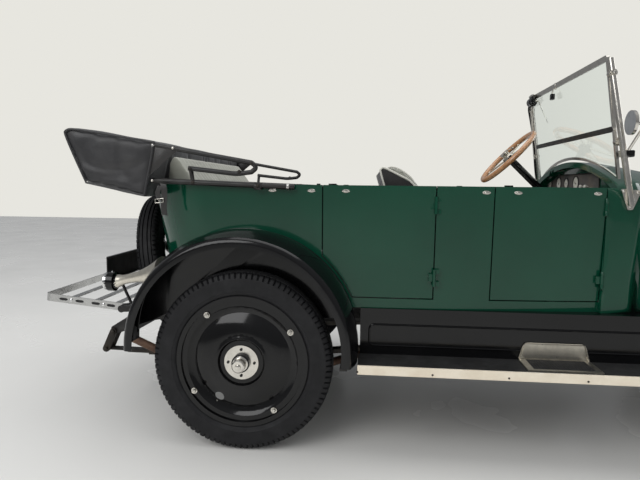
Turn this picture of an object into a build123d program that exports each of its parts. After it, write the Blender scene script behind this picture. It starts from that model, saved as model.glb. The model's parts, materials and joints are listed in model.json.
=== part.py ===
from build123d import *
import os
from math import asin, atan2, cos, degrees, hypot, pi, radians, sin, sqrt, tan

# An open four-door touring car of the 1920s with its top folded. Sizes are in mm.
# X points forward from the rear axle, Y to the car's left, Z up from the ground.
# The last lines move everything so that X = 0 is the middle of the whole car.

# Wheels and axles
wheelbase = 2616
wheel_track = 1422
tyre_radius = 385
tyre_width = 116
rim_radius = 281
rim_half_width = 50
rim_sheet = 6
bead_radius = 268
disc_sheet = 6
hub_radius = 48
spindle_radius = 22
bearing_gap = 0.05
bolt_circle_radius = 246
hub_cap_radius = 27
hub_cap_reach = 112
drum_radius = 140

# Clearances
seat_gap = 0.3
door_gap = 5
lid_gap = 6

# Chassis frame
rail_top = 600
rail_height = 110
rail_flange = 45
rail_sheet = 5
rail_rear_y = 440
rail_front_y = 376
rear_horn_x = -708
rear_horn_z = 408
front_horn_x = 3015
front_horn_z = 438
spring_width = 45
leaf_thickness = 7
spring_eye_radius = 16
horn_half = 22
bumper_hole_x = 3008
bumper_hole_z = 447
bumper_hole_radius = 7
rear_spring_y = 435
rear_spring_front_x = 640
rear_spring_front_z = 392
front_spring_y = 345
front_spring_drop = 12
front_leaves = 5
rear_cross_x = -420

# Engine, gearbox and torque tube
engine_rear_x = 1960
engine_front_x = 2505
gearbox_rear_x = 1480
tube_front_z = 460
axle_nose = 140

# Front axle and steering
kingpin_y = 625
kingpin_radius = 12
beam_drop = 62
tie_arm_length = 150
drag_arm_length = 170
pitman_length = 170
pitman_x = 2041
steering_wheel_y = 345
steering_wheel_x = 1325
steering_wheel_z = 1306
steering_wheel_radius = 203
column_angle = 44.1
column_radius = 21

# Body tub
sill_height = 605
belt_height = 1130
body_wall = 32
floor_thickness = 16
tub_rear_x = -510
tub_corner = 305
tub_front_x = 1497
rear_half_width = 645
middle_half_width = 652
front_half_width = 600
rear_lean = 90
side_lean = 25

# Doors: the rear edge, the front edge and the lower edge
rear_door_rear_x = 325
rear_door_front_x = 799
front_door_rear_x = 1037
door_bottom = 650
door_fender_gap = 14
hinge_radius = 7
hinge_pin_radius = 3.5
hinge_half = 16
hinge_heights = (745, 1050)

# Seats
seat_top = 905
# X, Z corners of the backs from the side: the panel and wings behind the front one, and the two cushions
front_panel_side = ((774, 637), (752, 637), (563, 1192), (575, 1208), (592, 1204), (586, 1190))
front_wing_side = ((700, 860), (563, 1192), (580, 1210), (709, 1145), (800, 915), (800, 780), (727, 780))
front_back_side = ((683, 912), (588.5, 1190), (604, 1219), (667, 1196), (728, 1140), (815, 912))
rear_back_side = ((-480, 912), (-480, 1118), (-405, 1125), (-374, 1235), (-350, 1260), (-328, 1246),
                  (-262, 1152), (-215, 1070), (-150, 912))
wing_y = 563

# Cowl, bonnet and radiator
cowl_front_x = 1850
cowl_wall = 28
dash_x = 1600
lip_x = 1545
bonnet_front_x = 2635
bonnet_top = 1215
bonnet_bottom = 650
bonnet_wall = 8
radiator_x = 2641
radiator_depth = 84
radiator_bottom = 560
louvre_count = 18
lid_hinge_radius = 5

# Fenders, boards and valances
fender_sheet = 4
fender_inner_y = 634
fender_outer_y = 838
fender_crown_radius = 493
fender_lip_radius = 433
rear_fender_x = -10
rear_fender_z = 445
front_fender_x = 2616
front_fender_z = 440
board_front_x = 1790
board_top = 405
board_thickness = 20
board_outer_y = 815
valance_y = 632
board_gap = 4

# Windshield
glass_x = 1540
glass_z = 1377
glass_lean = 8.6
glass_half_width = 522
glass_thickness = 6
windshield_top = 1668
post_radius = 13
mirror_z = 1387

# Spare wheel, luggage rack and lamps
spare_x = -558
spare_z = 698
spare_lean = 11
rack_hinge_x = -687
rack_hinge_z = 512
rack_length = 405
rack_half_width = 385
rack_tilt = 5.8
rack_bar = 38
rack_pin_radius = 8
headlamp_x = 2812
headlamp_y = 358
headlamp_z = 950
headlamp_radius = 108
tail_lamp_y = 640
tail_lamp_z = 692
cowl_lamp_x = 1680
cowl_lamp_y = 598
cowl_lamp_z = 1148
rack_slat_places = (40, 148, 271)
plate_x = -700
plate_y = -348
plate_hole_spacing = 250
plate_hole_z = 768
plate_hole_radius = 3

# Folded top
bag_half_width = 705
iron_y = 667

sheet_top = rail_top + seat_gap
front_spring_z = front_horn_z - horn_half - spring_eye_radius - seat_gap
front_spring_rear_x = 2 * wheelbase - front_horn_x
board_rear_x = rear_fender_x + fender_crown_radius + board_gap


def block(x, y, z):
    """A box from its low and high limits along each axis."""
    size = Box(x[1] - x[0], y[1] - y[0], z[1] - z[0])
    return Pos((x[0] + x[1]) / 2, (y[0] + y[1]) / 2, (z[0] + z[1]) / 2) * size


def bar(start, end, radius):
    """A round bar between two points."""
    line = Line(start, end)
    return extrude(Plane(origin=start, z_dir=line % 0) * Circle(radius), amount=line.length)


def bent_bar(points, bends, radius):
    """A round bar along straight runs joined by arcs."""
    path = FilletPolyline(*points, radius=bends)
    return sweep(Plane(origin=path @ 0, z_dir=path % 0) * Circle(radius), path)


def side_plate(outline, y):
    """A plate whose outline lies in X and Z, between two Y values."""
    face = Pos(0, y[0], 0) * (Plane.XZ * make_face(outline))
    return extrude(face, y[1] - y[0], dir=(0, 1, 0))


def front_plate(outline, x):
    """A plate whose outline lies in Y and Z, between two X values."""
    face = Pos(x[0], 0, 0) * (Plane.YZ * make_face(outline))
    return extrude(face, x[1] - x[0], dir=(1, 0, 0))


def plan_plate(outline, z):
    """A plate whose outline lies in X and Y, between two Z values."""
    return extrude(Pos(0, 0, z[0]) * make_face(outline), z[1] - z[0], dir=(0, 0, 1))


def polygon(*points):
    return Polyline(*points, close=True)


def turned(outline):
    """A solid of revolution about Y from an outline in radius and Y."""
    return revolve(make_face(outline), Axis.Y)


def group(*pieces):
    """Several solids of one node that don't touch."""
    return Compound([solid for piece in pieces for solid in piece.solids()])


def both_sides(piece):
    return group(piece, mirror(piece, about=Plane.XZ))


def blend(start, end, share):
    return start + (end - start) * share


def stand_on(post, rail):
    """The part of a post above a rail, which it clears by the seat gap."""
    return (post - Pos(0, 0, seat_gap) * rail).solids().sort_by(Axis.Z)[-1]


# Wheels and tyres

def tyre():
    bead = bead_radius + seat_gap
    bead_y = rim_half_width - rim_sheet - seat_gap
    bulge = tyre_width / 2
    tread = tyre_radius
    side_y = bead_y - 1.2
    left = ThreePointArc((rim_radius + 2, side_y), (332, bulge), (tread - 9, 48))
    right = ThreePointArc((tread - 9, -48), (332, -bulge), (rim_radius + 2, -side_y))
    outline = Curve() + [
        Line((bead, -bead_y), (bead, bead_y)),
        Line((bead, bead_y), (rim_radius + 2, side_y)),
        left,
        ThreePointArc((tread - 9, 48), (tread, 0), (tread - 9, -48)),
        right,
        Line((rim_radius + 2, -side_y), (bead, -bead_y)),
    ]
    return turned(outline)


def wheel_rim():
    inner = bead_radius - rim_sheet
    edge = rim_half_width - rim_sheet
    return turned(polygon(
        (inner, -rim_half_width), (rim_radius, -rim_half_width), (rim_radius, -edge),
        (bead_radius, -edge), (bead_radius, edge), (rim_radius, edge),
        (rim_radius, rim_half_width), (inner, rim_half_width)))


def wheel_disc():
    """The dished disc with its felloe step, its centre recess and the hub."""
    rim_inner = bead_radius - rim_sheet + 1
    front = [(rim_inner, 40), (238, 40), (228, 31), (207, 24)]
    centre = [(106, 56), (100, 56), (92, 46), (hub_radius, 46)]
    dish, dish_end = (163, 43), (112, 52)

    def back(point):
        return (point[0], point[1] - disc_sheet)

    outline = Curve() + [
        Polyline(*front),
        ThreePointArc(front[-1], dish, dish_end),
        Polyline(dish_end, *centre),
        Line(centre[-1], back(centre[-1])),
        Polyline(*[back(p) for p in reversed([dish_end] + centre)]),
        ThreePointArc(back(dish_end), back(dish), back(front[-1])),
        Polyline(*[back(p) for p in reversed(front)]),
        Line(back(front[0]), front[0]),
    ]
    disc = turned(outline)
    valve_hole = Pos(-100, 0, -158) * Rot(90, 0, 0) * Cylinder(21, 200)
    return disc - valve_hole


def wheel(has_drum):
    """A wheel at the origin with its outer side towards +Y."""
    bore = spindle_radius + bearing_gap
    hub = turned(polygon((bore, -30), (hub_radius, -30), (hub_radius, 46), (73, 46), (73, 52),
                         (38, 52), (38, 70), (hub_cap_radius, 74), (hub_cap_radius, hub_cap_reach - 4),
                         (hub_cap_radius - 4, hub_cap_reach), (0, hub_cap_reach), (0, 30), (bore, 30)))
    shape = wheel_rim() + wheel_disc() + hub
    for turn in (33, 127, 213, 304):
        at = (bolt_circle_radius * cos(radians(turn)), bolt_circle_radius * sin(radians(turn)))
        shape += bar((at[0], 38, at[1]), (at[0], 52, at[1]), 9)
    if has_drum:
        shape += turned(polygon(
            (hub_radius - 1, -28), (drum_radius, -28), (drum_radius, -65), (drum_radius - 8, -65),
            (drum_radius - 8, -20), (hub_radius - 1, -20)))
    return shape


def place_wheel(shape, x, side):
    at_left = Pos(x, wheel_track / 2, tyre_radius) * shape
    return at_left if side > 0 else mirror(at_left, about=Plane.XZ)


# Chassis

def rail_y(x):
    """The outer face of a frame rail, which is nearer to the middle at the front."""
    return rail_rear_y + (rail_front_y - rail_rear_y) * x / wheelbase


def frame_rail():
    top, bottom = rail_top, rail_top - rail_height
    horn = horn_half
    outline = FilletPolyline(
        (rear_horn_x - 14, rear_horn_z + horn), (-500, top - 30), (-370, top), (2650, top),
        (2800, top - 18), (front_horn_x + 14, front_horn_z + horn),
        (front_horn_x + 14, front_horn_z - horn), (2780, bottom + 8), (2620, bottom),
        (-330, bottom), (-500, bottom - 18), (rear_horn_x - 14, rear_horn_z - horn),
        radius=[14, 90, 120, 120, 120, 14, 14, 120, 120, 120, 120, 14], close=True)
    face = make_face(outline)
    full = extrude(Plane.XZ * face, rail_flange, dir=(0, -1, 0))
    inside = offset(face, amount=-rail_sheet, kind=Kind.INTERSECTION)
    pocket = extrude(Pos(0, -rail_sheet, 0) * (Plane.XZ * inside), rail_flange, dir=(0, -1, 0))
    bolt_hole = bar((bumper_hole_x, -rail_flange, bumper_hole_z), (bumper_hole_x, 5, bumper_hole_z),
                    bumper_hole_radius)
    toe_in = degrees(atan2(rail_front_y - rail_rear_y, wheelbase))
    return Pos(0, rail_rear_y, 0) * Rot(0, 0, toe_in) * (full - pocket - bolt_hole)


def cross_member(x, width, depth):
    half = rail_y(x) - rail_sheet / 2
    z = (rail_top - depth, rail_top)
    outer = block((x - width / 2, x + width / 2), (-half, half), z)
    inner = block((x - width / 2 + rail_sheet, x + width / 2 - rail_sheet), (-half, half),
                  (z[0] - 1, z[1] - rail_sheet))
    return outer - inner


def board_bracket(x):
    y = rail_y(x) - rail_sheet / 2
    under = board_top - board_thickness - seat_gap
    outline = polygon((y, 560), (y + 12, 560), (600, under), (board_outer_y - 20, under),
                      (board_outer_y - 20, under - 8), (594, under - 14), (y, 515))
    return front_plate(outline, (x - 16, x + 16))


def spring_hanger(x, y, z, width):
    """A plate that hangs from a rail and holds a spring eye."""
    bottom = rail_top - rail_height
    outline = FilletPolyline((x - 45, bottom + 2), (x + 45, bottom + 2), (x + 20, z - 22),
                             (x - 20, z - 22), radius=[2, 2, 16, 16], close=True)
    plate = side_plate(outline, (y - width / 2, y + width / 2))
    half = spring_width / 2 + seat_gap
    return plate - block((x - 60, x + 60), (y - half, y + half), (z - 30, z + 28))


def rack_lug():
    """An arm from the rear horn with the pin on which the luggage rack turns."""
    x, y, z = rack_hinge_x, rack_half_width + 4, rack_hinge_z
    horn = rail_y(x) - rail_flange + 8
    arm = side_plate(polygon((x, z + 15), (x + 115, z + 15), (x + 100, z - 45), (x + 55, z - 12), (x, z - 15)),
                     (y, horn))
    ear = bar((x, y, z), (x, horn, z), 18)
    pin = bar((x, y - 12, z), (x, horn, z), rack_pin_radius)
    return arm + ear + pin


def chassis_frame():
    rail = frame_rail()
    for x in (430, 1080, 1730):
        rail += board_bracket(x)
    rail += spring_hanger(rear_spring_front_x, rear_spring_y, rear_spring_front_z, spring_width + 18)
    rail += spring_hanger(front_spring_rear_x, front_spring_y, front_spring_z, spring_width + 18)
    rail += rack_lug()
    shape = rail + mirror(rail, about=Plane.XZ)
    for x, width, depth in ((rear_cross_x, 60, 75), (250, 80, 90), (1380, 90, 80), (2560, 90, 80)):
        shape += cross_member(x, width, depth)
    return shape


def leaf_spring(rear_eye, front_eye, drop, leaves, width):
    """Leaves that curve below the chord of their eyes, as a stack that shortens downwards."""
    chord = hypot(front_eye[0] - rear_eye[0], front_eye[1] - rear_eye[1])
    tilt = degrees(atan2(front_eye[1] - rear_eye[1], front_eye[0] - rear_eye[0]))
    half = chord / 2
    radius = (half ** 2 + drop ** 2) / (2 * drop)
    stack = Sketch()
    for i in range(leaves):
        inner, outer = radius + i * leaf_thickness, radius + (i + 1) * leaf_thickness
        reach = half * (1 - i / (leaves + 0.6))
        ring = Circle(outer) - Circle(inner)
        window = Pos(0, -radius) * Rectangle(2 * reach, 8 * drop)
        stack += ring & window
    stack = Pos(0, radius - drop) * stack
    for x in (-half, half):
        stack += Pos(x, 0) * Circle(spring_eye_radius)
    middle = ((rear_eye[0] + front_eye[0]) / 2, (rear_eye[1] + front_eye[1]) / 2)
    face = Pos(middle[0], 0, middle[1]) * Rot(0, -tilt, 0) * (Plane.XZ * stack)
    return extrude(Pos(0, -width / 2, 0) * face, width, dir=(0, 1, 0))


def shackle(top, bottom, y, width):
    """Two side links and two pins that hang a spring eye from a frame horn."""
    shape = Part()
    for side in (-1, 1):
        inner = y + side * (width / 2 + seat_gap)
        low = min(inner, inner + side * 8)
        link = SlotCenterToCenter(hypot(top[0] - bottom[0], top[1] - bottom[1]), 34)
        turn = degrees(atan2(top[1] - bottom[1], top[0] - bottom[0]))
        face = Pos((top[0] + bottom[0]) / 2, low, (top[1] + bottom[1]) / 2) * Rot(0, -turn, 0) * (
            Plane.XZ * link)
        shape += extrude(face, 8, dir=(0, 1, 0))
    pin_half = width / 2 + 14
    return shape + bar((bottom[0], y - pin_half, bottom[1]), (bottom[0], y + pin_half, bottom[1]), 9)


def leaf_springs():
    rear_eye = (rear_horn_x - 38, rear_horn_z - 84)
    rear = leaf_spring(rear_eye, (rear_spring_front_x, rear_spring_front_z), 26, 6, spring_width)
    rear += shackle((rear_horn_x, rear_horn_z), rear_eye, 0, spring_width + 1.4)
    rear = Pos(0, rear_spring_y, 0) * rear
    front_eyes = [(x, front_spring_z) for x in (front_spring_rear_x, front_horn_x)]
    front = leaf_spring(*front_eyes, front_spring_drop, front_leaves, spring_width)
    front = Pos(0, front_spring_y, 0) * front
    return both_sides(group(rear, front))


# Axles

def tube_point(distance):
    """A point on the torque tube's centre line, measured from the rear axle's middle."""
    line = Line((0, 0, tyre_radius), (gearbox_rear_x, 0, tube_front_z))
    return line @ (distance / line.length)


def rear_axle():
    inner_end = wheel_track / 2 - 73
    spindle_end = wheel_track / 2 + 29
    outline = Curve() + [
        ThreePointArc((0, 130), (92, 92), (126, 44)),
        Polyline((126, 44), (170, 38), (inner_end - 8, 38), (inner_end - 8, 132), (inner_end, 132),
                 (inner_end, spindle_radius), (spindle_end, spindle_radius), (spindle_end, 0), (0, 0),
                 (0, 130)),
    ]
    half = Pos(0, 0, tyre_radius) * revolve(make_face(
        Plane(origin=(0, 0, 0), x_dir=(0, 1, 0), z_dir=(0, 0, 1)) * outline), Axis.Y)
    shape = half + mirror(half, about=Plane.XZ)
    return shape + bar(tube_point(60), tube_point(axle_nose), 62)


def front_axle():
    low, high = tyre_radius - 35, tyre_radius + 35
    mid = tyre_radius - beam_drop
    stack = front_spring_drop + front_leaves * leaf_thickness
    pad_top = front_spring_z - stack - seat_gap
    outline = polygon(
        (-kingpin_y + 14, high - 8), (-kingpin_y + 85, high - 12), (-500, mid + 26), (500, mid + 26),
        (kingpin_y - 85, high - 12), (kingpin_y - 14, high - 8), (kingpin_y - 14, low + 6),
        (kingpin_y - 92, low + 2), (490, mid - 26), (-490, mid - 26), (-kingpin_y + 92, low + 2),
        (-kingpin_y + 14, low + 6))
    beam = front_plate(outline, (-22, 22))
    waist = offset(make_face(outline), amount=-11, kind=Kind.INTERSECTION)
    for x in ((-23, -7), (7, 23)):
        beam -= extrude(Pos(x[0], 0, 0) * (Plane.YZ * waist), x[1] - x[0], dir=(1, 0, 0))
    for side in (-1, 1):
        eye = bar((0, side * kingpin_y, low), (0, side * kingpin_y, high), 25)
        bore = bar((0, side * kingpin_y, low - 5), (0, side * kingpin_y, high + 5),
                   kingpin_radius + bearing_gap)
        beam = beam + eye - bore
        pad_y = side * front_spring_y
        beam += block((-45, 45), (pad_y - 30, pad_y + 30), (mid + 14, pad_top))
    return Pos(wheelbase, 0, 0) * beam


def knuckle(side):
    """Yoke, kingpin, spindle and steering arms of one front wheel, made for the left side."""
    low, high = tyre_radius - 35, tyre_radius + 35
    upper = (high + seat_gap, high + 22)
    lower = (low - 20, low - seat_gap)
    pin = bar((0, kingpin_y, lower[0]), (0, kingpin_y, upper[1]), kingpin_radius)
    shape = pin
    for z in (upper, lower):
        lug = Pos(0, kingpin_y, z[0]) * extrude(Circle(24), z[1] - z[0])
        shape += lug + block((-20, 20), (kingpin_y, kingpin_y + 40), z)
    shape += block((-20, 20), (kingpin_y + 28, kingpin_y + 42), (lower[0], upper[1]))
    shape += bar((0, kingpin_y + 30, tyre_radius), (0, wheel_track / 2 + 29, tyre_radius), spindle_radius)
    arm_end = (-tie_arm_length, kingpin_y)
    arm = polygon((-10, kingpin_y - 20), (-10, kingpin_y + 20), (arm_end[0], arm_end[1] + 14),
                  (arm_end[0], arm_end[1] - 14))
    shape += plan_plate(arm, lower)
    shape += Pos(arm_end[0], arm_end[1], lower[0]) * extrude(Circle(17), lower[1] - lower[0])
    shape += bar((arm_end[0], arm_end[1], lower[0] - 26), (arm_end[0], arm_end[1], lower[0] + 4), 8)
    if side > 0:
        end_y = kingpin_y - drag_arm_length
        drag_arm = polygon((-16, kingpin_y), (16, kingpin_y), (12, end_y), (-12, end_y))
        shape += plan_plate(drag_arm, upper)
        shape += Pos(0, end_y, upper[0]) * extrude(Circle(17), upper[1] - upper[0])
        shape += bar((0, end_y, upper[1] - 4), (0, end_y, upper[1] + 26), 8)
    else:
        shape = mirror(shape, about=Plane.XZ)
    return Pos(wheelbase, 0, 0) * shape


def rod_eye(x, y, z, height):
    return Pos(x, y, z) * extrude(Circle(18) - Circle(8 + bearing_gap), height)


def tie_rod():
    x = wheelbase - tie_arm_length
    y = kingpin_y
    top = tyre_radius - 35 - 20 - seat_gap
    rod = bar((x, -y + 15, top - 11), (x, y - 15, top - 11), 10)
    return rod + rod_eye(x, y, top - 22, 22) + rod_eye(x, -y, top - 22, 22)


drag_link_z = tyre_radius + 35 + 22 + seat_gap + 11
drag_link_y = kingpin_y - drag_arm_length
pitman_z = drag_link_z + pitman_length
pitman_y = (drag_link_y - 40, drag_link_y - 28)


def drag_link():
    front = rod_eye(wheelbase, drag_link_y, drag_link_z - 11, 22)
    rod = bar((pitman_x + 8, drag_link_y, drag_link_z), (wheelbase - 15, drag_link_y, drag_link_z), 10)
    rear = bar((pitman_x, drag_link_y - 12, drag_link_z), (pitman_x, drag_link_y + 12, drag_link_z), 17)
    return front + rod + rear


def pitman_arm():
    outline = Curve() + [
        ThreePointArc((pitman_x - 19, pitman_z), (pitman_x, pitman_z + 19), (pitman_x + 19, pitman_z)),
        Line((pitman_x + 19, pitman_z), (pitman_x + 14, drag_link_z)),
        ThreePointArc((pitman_x + 14, drag_link_z), (pitman_x, drag_link_z - 14),
                      (pitman_x - 14, drag_link_z)),
        Line((pitman_x - 14, drag_link_z), (pitman_x - 19, pitman_z)),
    ]
    arm = side_plate(outline, pitman_y)
    ball = bar((pitman_x, pitman_y[1] - 2, drag_link_z), (pitman_x, drag_link_y - 13.5, drag_link_z), 9)
    bore = bar((pitman_x, pitman_y[0] - 5, pitman_z), (pitman_x, pitman_y[1] + 5, pitman_z),
               12 + bearing_gap)
    return arm + ball - bore


# Steering column and wheel

column_down = (cos(radians(column_angle)), 0, -sin(radians(column_angle)))


def along_column(distance):
    """A point on the column axis, measured down from the steering wheel's plane."""
    return (steering_wheel_x + column_down[0] * distance, steering_wheel_y,
            steering_wheel_z + column_down[2] * distance)


def steering_column():
    box_end = (steering_wheel_z - (rail_top + 52)) / sin(radians(column_angle))
    tube = bar(along_column(30), along_column(box_end), column_radius)
    socket = bar(along_column(25), along_column(100), 10 + bearing_gap)
    box_y = (300, 390)
    case = block((pitman_x - 62, pitman_x + 50), box_y, (sheet_top, rail_top + 88))
    case = fillet(case.edges().filter_by(Axis.Y), 22)
    boss = bar((pitman_x, box_y[1] - 5, pitman_z), (pitman_x, pitman_y[0] - seat_gap, pitman_z), 17)
    shaft = bar((pitman_x, box_y[1] - 5, pitman_z), (pitman_x, pitman_y[1] + 3, pitman_z), 12)
    return tube + case + boss + shaft - socket


def steering_wheel():
    rim = Torus(steering_wheel_radius - 15, 15)
    hub = Pos(0, 0, -12) * Cylinder(34, 34)
    shape = rim + hub + Pos(0, 0, 12) * Cylinder(22, 26)
    spoke = Pos(steering_wheel_radius / 2 - 4, 0, -8) * Box(steering_wheel_radius - 26, 20, 7)
    for turn in (45, 135, 225, 315):
        shape += Rot(0, 0, turn) * spoke
    shape += Pos(0, 0, -60) * Cylinder(10, 70)
    up = (-column_down[0], 0, -column_down[2])
    return Plane(origin=along_column(0), x_dir=(0, 1, 0), z_dir=up) * shape


# Power train and exhaust, plain masses at their real places

def engine_block():
    main = block((engine_rear_x, engine_front_x), (-165, 165), (470, 1040))
    main += block((engine_rear_x + 40, engine_front_x - 65), (-130, 130), (400, 475))
    main = fillet(main.edges().filter_by(Axis.Z), 20)
    half = rail_y(2190) - rail_sheet
    arms = block((2160, 2220), (-half, half), (sheet_top, sheet_top + 26))
    front_foot = block((engine_front_x - 10, 2580), (-70, 70), (sheet_top, sheet_top + 40))
    return main + arms + front_foot


def gearbox_and_tube():
    case = block((gearbox_rear_x, engine_rear_x - seat_gap), (-120, 120), (380, 575))
    case = fillet(case.edges().filter_by(Axis.X), 55)
    tube = bar(tube_point(axle_nose + seat_gap), tube_point(gearbox_rear_x + 10), 45)
    return case + tube


def exhaust():
    pipe = bent_bar([(2200, -165 - seat_gap, 520), (2200, -235, 520), (2000, -240, 350), (1500, -240, 335),
                     (1120, -240, 335)], [20, 60, 200], 20)
    muffler = bar((1130, -240, 335), (760, -240, 330), 62)
    tail = bent_bar([(765, -240, 330), (560, -250, 305), (330, -495, 300), (-380, -500, 300),
                     (-611, -500, 400)], [90, 120, 200], 19)
    return pipe + muffler + tail


def fuel_tank():
    half = rail_y(-170) - rail_flange - seat_gap
    tank = block((-385, -170), (-half, half), (405, 588))
    return fillet(tank.edges().filter_by(Axis.Y), 60)


# Body tub and doors

def tub_outline(z, shrink, front_x):
    """The plan of the body at a height, moved inwards by shrink."""
    low = (belt_height - z) / (belt_height - sill_height)
    back = tub_rear_x + rear_lean * low + shrink
    corner = tub_corner - shrink
    lean = side_lean * low + shrink
    rear_y, middle_y = rear_half_width - lean, middle_half_width - lean
    front_y = front_half_width - lean
    centre = (back + corner, rear_y - corner)
    diagonal = corner * sqrt(0.5)
    half = [
        Line((back, 0), (back, centre[1])),
        ThreePointArc((back, centre[1]), (centre[0] - diagonal, centre[1] + diagonal), (centre[0], rear_y)),
        Line((centre[0], rear_y), (500, middle_y)),
        ThreePointArc((500, middle_y), (1037, front_y + 0.72 * (middle_y - front_y)), (front_x, front_y)),
    ]
    other = [mirror(edge, about=Plane.XZ) for edge in half]
    face = make_face(Curve() + half + other + [Line((front_x, front_y), (front_x, -front_y))])
    return Pos(0, 0, z) * face


def tub_solid(grow):
    return loft([tub_outline(sill_height, -grow, tub_front_x), tub_outline(belt_height, -grow, tub_front_x)],
                ruled=True)


def tub_shell():
    floor = sill_height + floor_thickness
    cavity = loft([tub_outline(floor, body_wall, tub_front_x + 40),
                   tub_outline(belt_height + 20, body_wall, tub_front_x + 40)], ruled=True)
    return tub_solid(0) - cavity


def rear_door_block(grow):
    """The left rear door's place, cut off by the fender's curve."""
    around = block((rear_door_rear_x - grow, rear_door_front_x + grow), (400, 800),
                   (door_bottom - grow, belt_height + 100))
    radius = fender_crown_radius + door_fender_gap - grow
    arch = bar((rear_fender_x, 300, rear_fender_z), (rear_fender_x, 900, rear_fender_z), radius)
    return around - arch


def front_door_block(grow, front_x):
    return block((front_door_rear_x - grow, front_x), (400, 800), (door_bottom - grow, belt_height + 100))


def body_tub(shell):
    half_gap = door_gap / 2
    openings = rear_door_block(half_gap) + front_door_block(half_gap, tub_front_x + 60)
    return shell - openings - mirror(openings, about=Plane.XZ)


def door(shell, place, side):
    if side < 0:
        place = mirror(place, about=Plane.XZ)
    return shell & place


# Door hinges

def body_side_arc(inset):
    """The curved part of the belt line, from the rear doors to the cowl."""
    middle_y, front_y = middle_half_width - inset, front_half_width - inset
    return ThreePointArc((500, middle_y), (1037, front_y + 0.72 * (middle_y - front_y)), (tub_front_x, front_y))


def side_y(x):
    arc = body_side_arc(0)
    return arc.arc_center.Y + sqrt(arc.radius ** 2 - (x - arc.arc_center.X) ** 2)


def door_hinges(x):
    """The door's leaf, the body's leaf and the room that each needs, for a left door's two hinges."""
    y = side_y(x)
    leaf, body_leaf, leaf_room, body_room = Part(), Part(), Part(), Part()
    for z in hinge_heights:
        low, high = z - hinge_half, z + hinge_half
        leaf += bar((x, y, low), (x, y, high), hinge_radius) + block((x - 22, x), (y - 26, y - 3), (low, high))
        body_room += bar((x, y, low - 1), (x, y, high + 1), hinge_pin_radius + bearing_gap)
        leaf_room += bar((x, y, low - seat_gap), (x, y, high + seat_gap), hinge_radius + seat_gap)
        body_leaf += bar((x, y, low - 20), (x, y, high + 20), hinge_pin_radius)
        for start, end in ((low - 20, low - seat_gap), (high + seat_gap, high + 20)):
            body_leaf += bar((x, y, start), (x, y, end), hinge_radius)
            body_leaf += block((x, x + 22), (y - 26, y - 3), (start, end))
            body_room += bar((x, y, start - seat_gap), (x, y, end + seat_gap), hinge_radius + seat_gap)
    return leaf, body_leaf, leaf_room, body_room


# Cowl, bonnet and radiator

# X, half width, top of the upright side, shoulder Y, shoulder Z, crown Z
cowl_table = [
    (tub_front_x, 600, 1108, 566, 1138, 1262),
    (1640, 572, 1040, 500, 1160, 1258),
    (cowl_front_x, 462, 985, 372, 1136, 1220),
]
bonnet_rear = (cowl_front_x + lid_gap, 459, 985, 370, 1134, bonnet_top)
bonnet_front = (bonnet_front_x, 285, 1030, 214, 1140, bonnet_top)


def arch_section(x, half, side_top, shoulder_y, shoulder_z, crown, bottom, shrink):
    """A section across the car: upright sides, round shoulders and a crowned top."""
    half, shoulder_y = half - shrink, shoulder_y - 0.6 * shrink
    shoulder_z, crown = shoulder_z - 0.8 * shrink, crown - shrink
    outline = Curve() + [
        Line((-half, bottom), (half, bottom)),
        Line((half, bottom), (half, side_top)),
        TangentArc((half, side_top), (shoulder_y, shoulder_z), tangent=(0, 1)),
        ThreePointArc((shoulder_y, shoulder_z), (0, crown), (-shoulder_y, shoulder_z)),
        TangentArc((-half, side_top), (-shoulder_y, shoulder_z), tangent=(0, 1)),
        Line((-half, side_top), (-half, bottom)),
    ]
    return Pos(x, 0, 0) * (Plane.YZ * make_face(outline))


def arch_between(first, last, x):
    """The row of section values at a place between two rows."""
    share = (x - first[0]) / (last[0] - first[0])
    return (x,) + tuple(blend(a, b, share) for a, b in zip(first[1:], last[1:]))


def arch_loft(rows, bottom, shrink):
    return loft([arch_section(*row, bottom, shrink) for row in rows], ruled=True)


def cowl():
    outer = arch_loft(cowl_table, sill_height, 0)
    floor = sill_height + floor_thickness
    first, middle, last = cowl_table
    inner_rows = [(first[0] - 5,) + first[1:], middle, arch_between(middle, last, last[0] - 18)]
    cavity = arch_loft(inner_rows, floor, cowl_wall)
    dash = outer & block((dash_x, dash_x + 6), (-700, 700), (1020, 1400))
    toe = side_plate(polygon((1610, floor - 2), (1630, floor - 2), (1838, 800), (1838, 815)), (-520, 520))
    shape = (outer - cavity) + dash + (outer & toe)
    shape -= block((tub_front_x - 10, lip_x), (-700, 700), (belt_height, 1400))
    clearance = bar(along_column(60), along_column(900), column_radius + 6)
    return shape - clearance


def lid_hinge(radius):
    """The long hinge rod between the bonnet's halves."""
    z = bonnet_top - 3
    return bar((cowl_front_x + seat_gap, 0, z), (radiator_x + 5, 0, z), radius)


def bonnet(side):
    outer = arch_loft([bonnet_rear, bonnet_front], bonnet_bottom, 0)
    rear = arch_between(bonnet_rear, bonnet_front, bonnet_rear[0] - 5)
    front = arch_between(bonnet_rear, bonnet_front, bonnet_front_x + 5)
    lid = outer - arch_loft([rear, front], bonnet_bottom - 20, bonnet_wall)
    lid = lid & block((1800, 2700), (lid_gap / 2, 600), (600, 1300))
    lid -= lid_hinge(lid_hinge_radius + seat_gap)
    slope = degrees(atan2(bonnet_front[1] - bonnet_rear[1], bonnet_front[0] - bonnet_rear[0]))
    louvre = plan_plate(polygon((0, -2), (30, -2), (30, 8), (24, 9), (0, 0)), (0, 235))
    for i in range(louvre_count):
        x = bonnet_rear[0] + 90 + i * 34
        y = arch_between(bonnet_rear, bonnet_front, x)[1]
        lid += Pos(x, y, 715) * Rot(0, 0, slope) * louvre
    return lid if side > 0 else mirror(lid, about=Plane.XZ)


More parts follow.
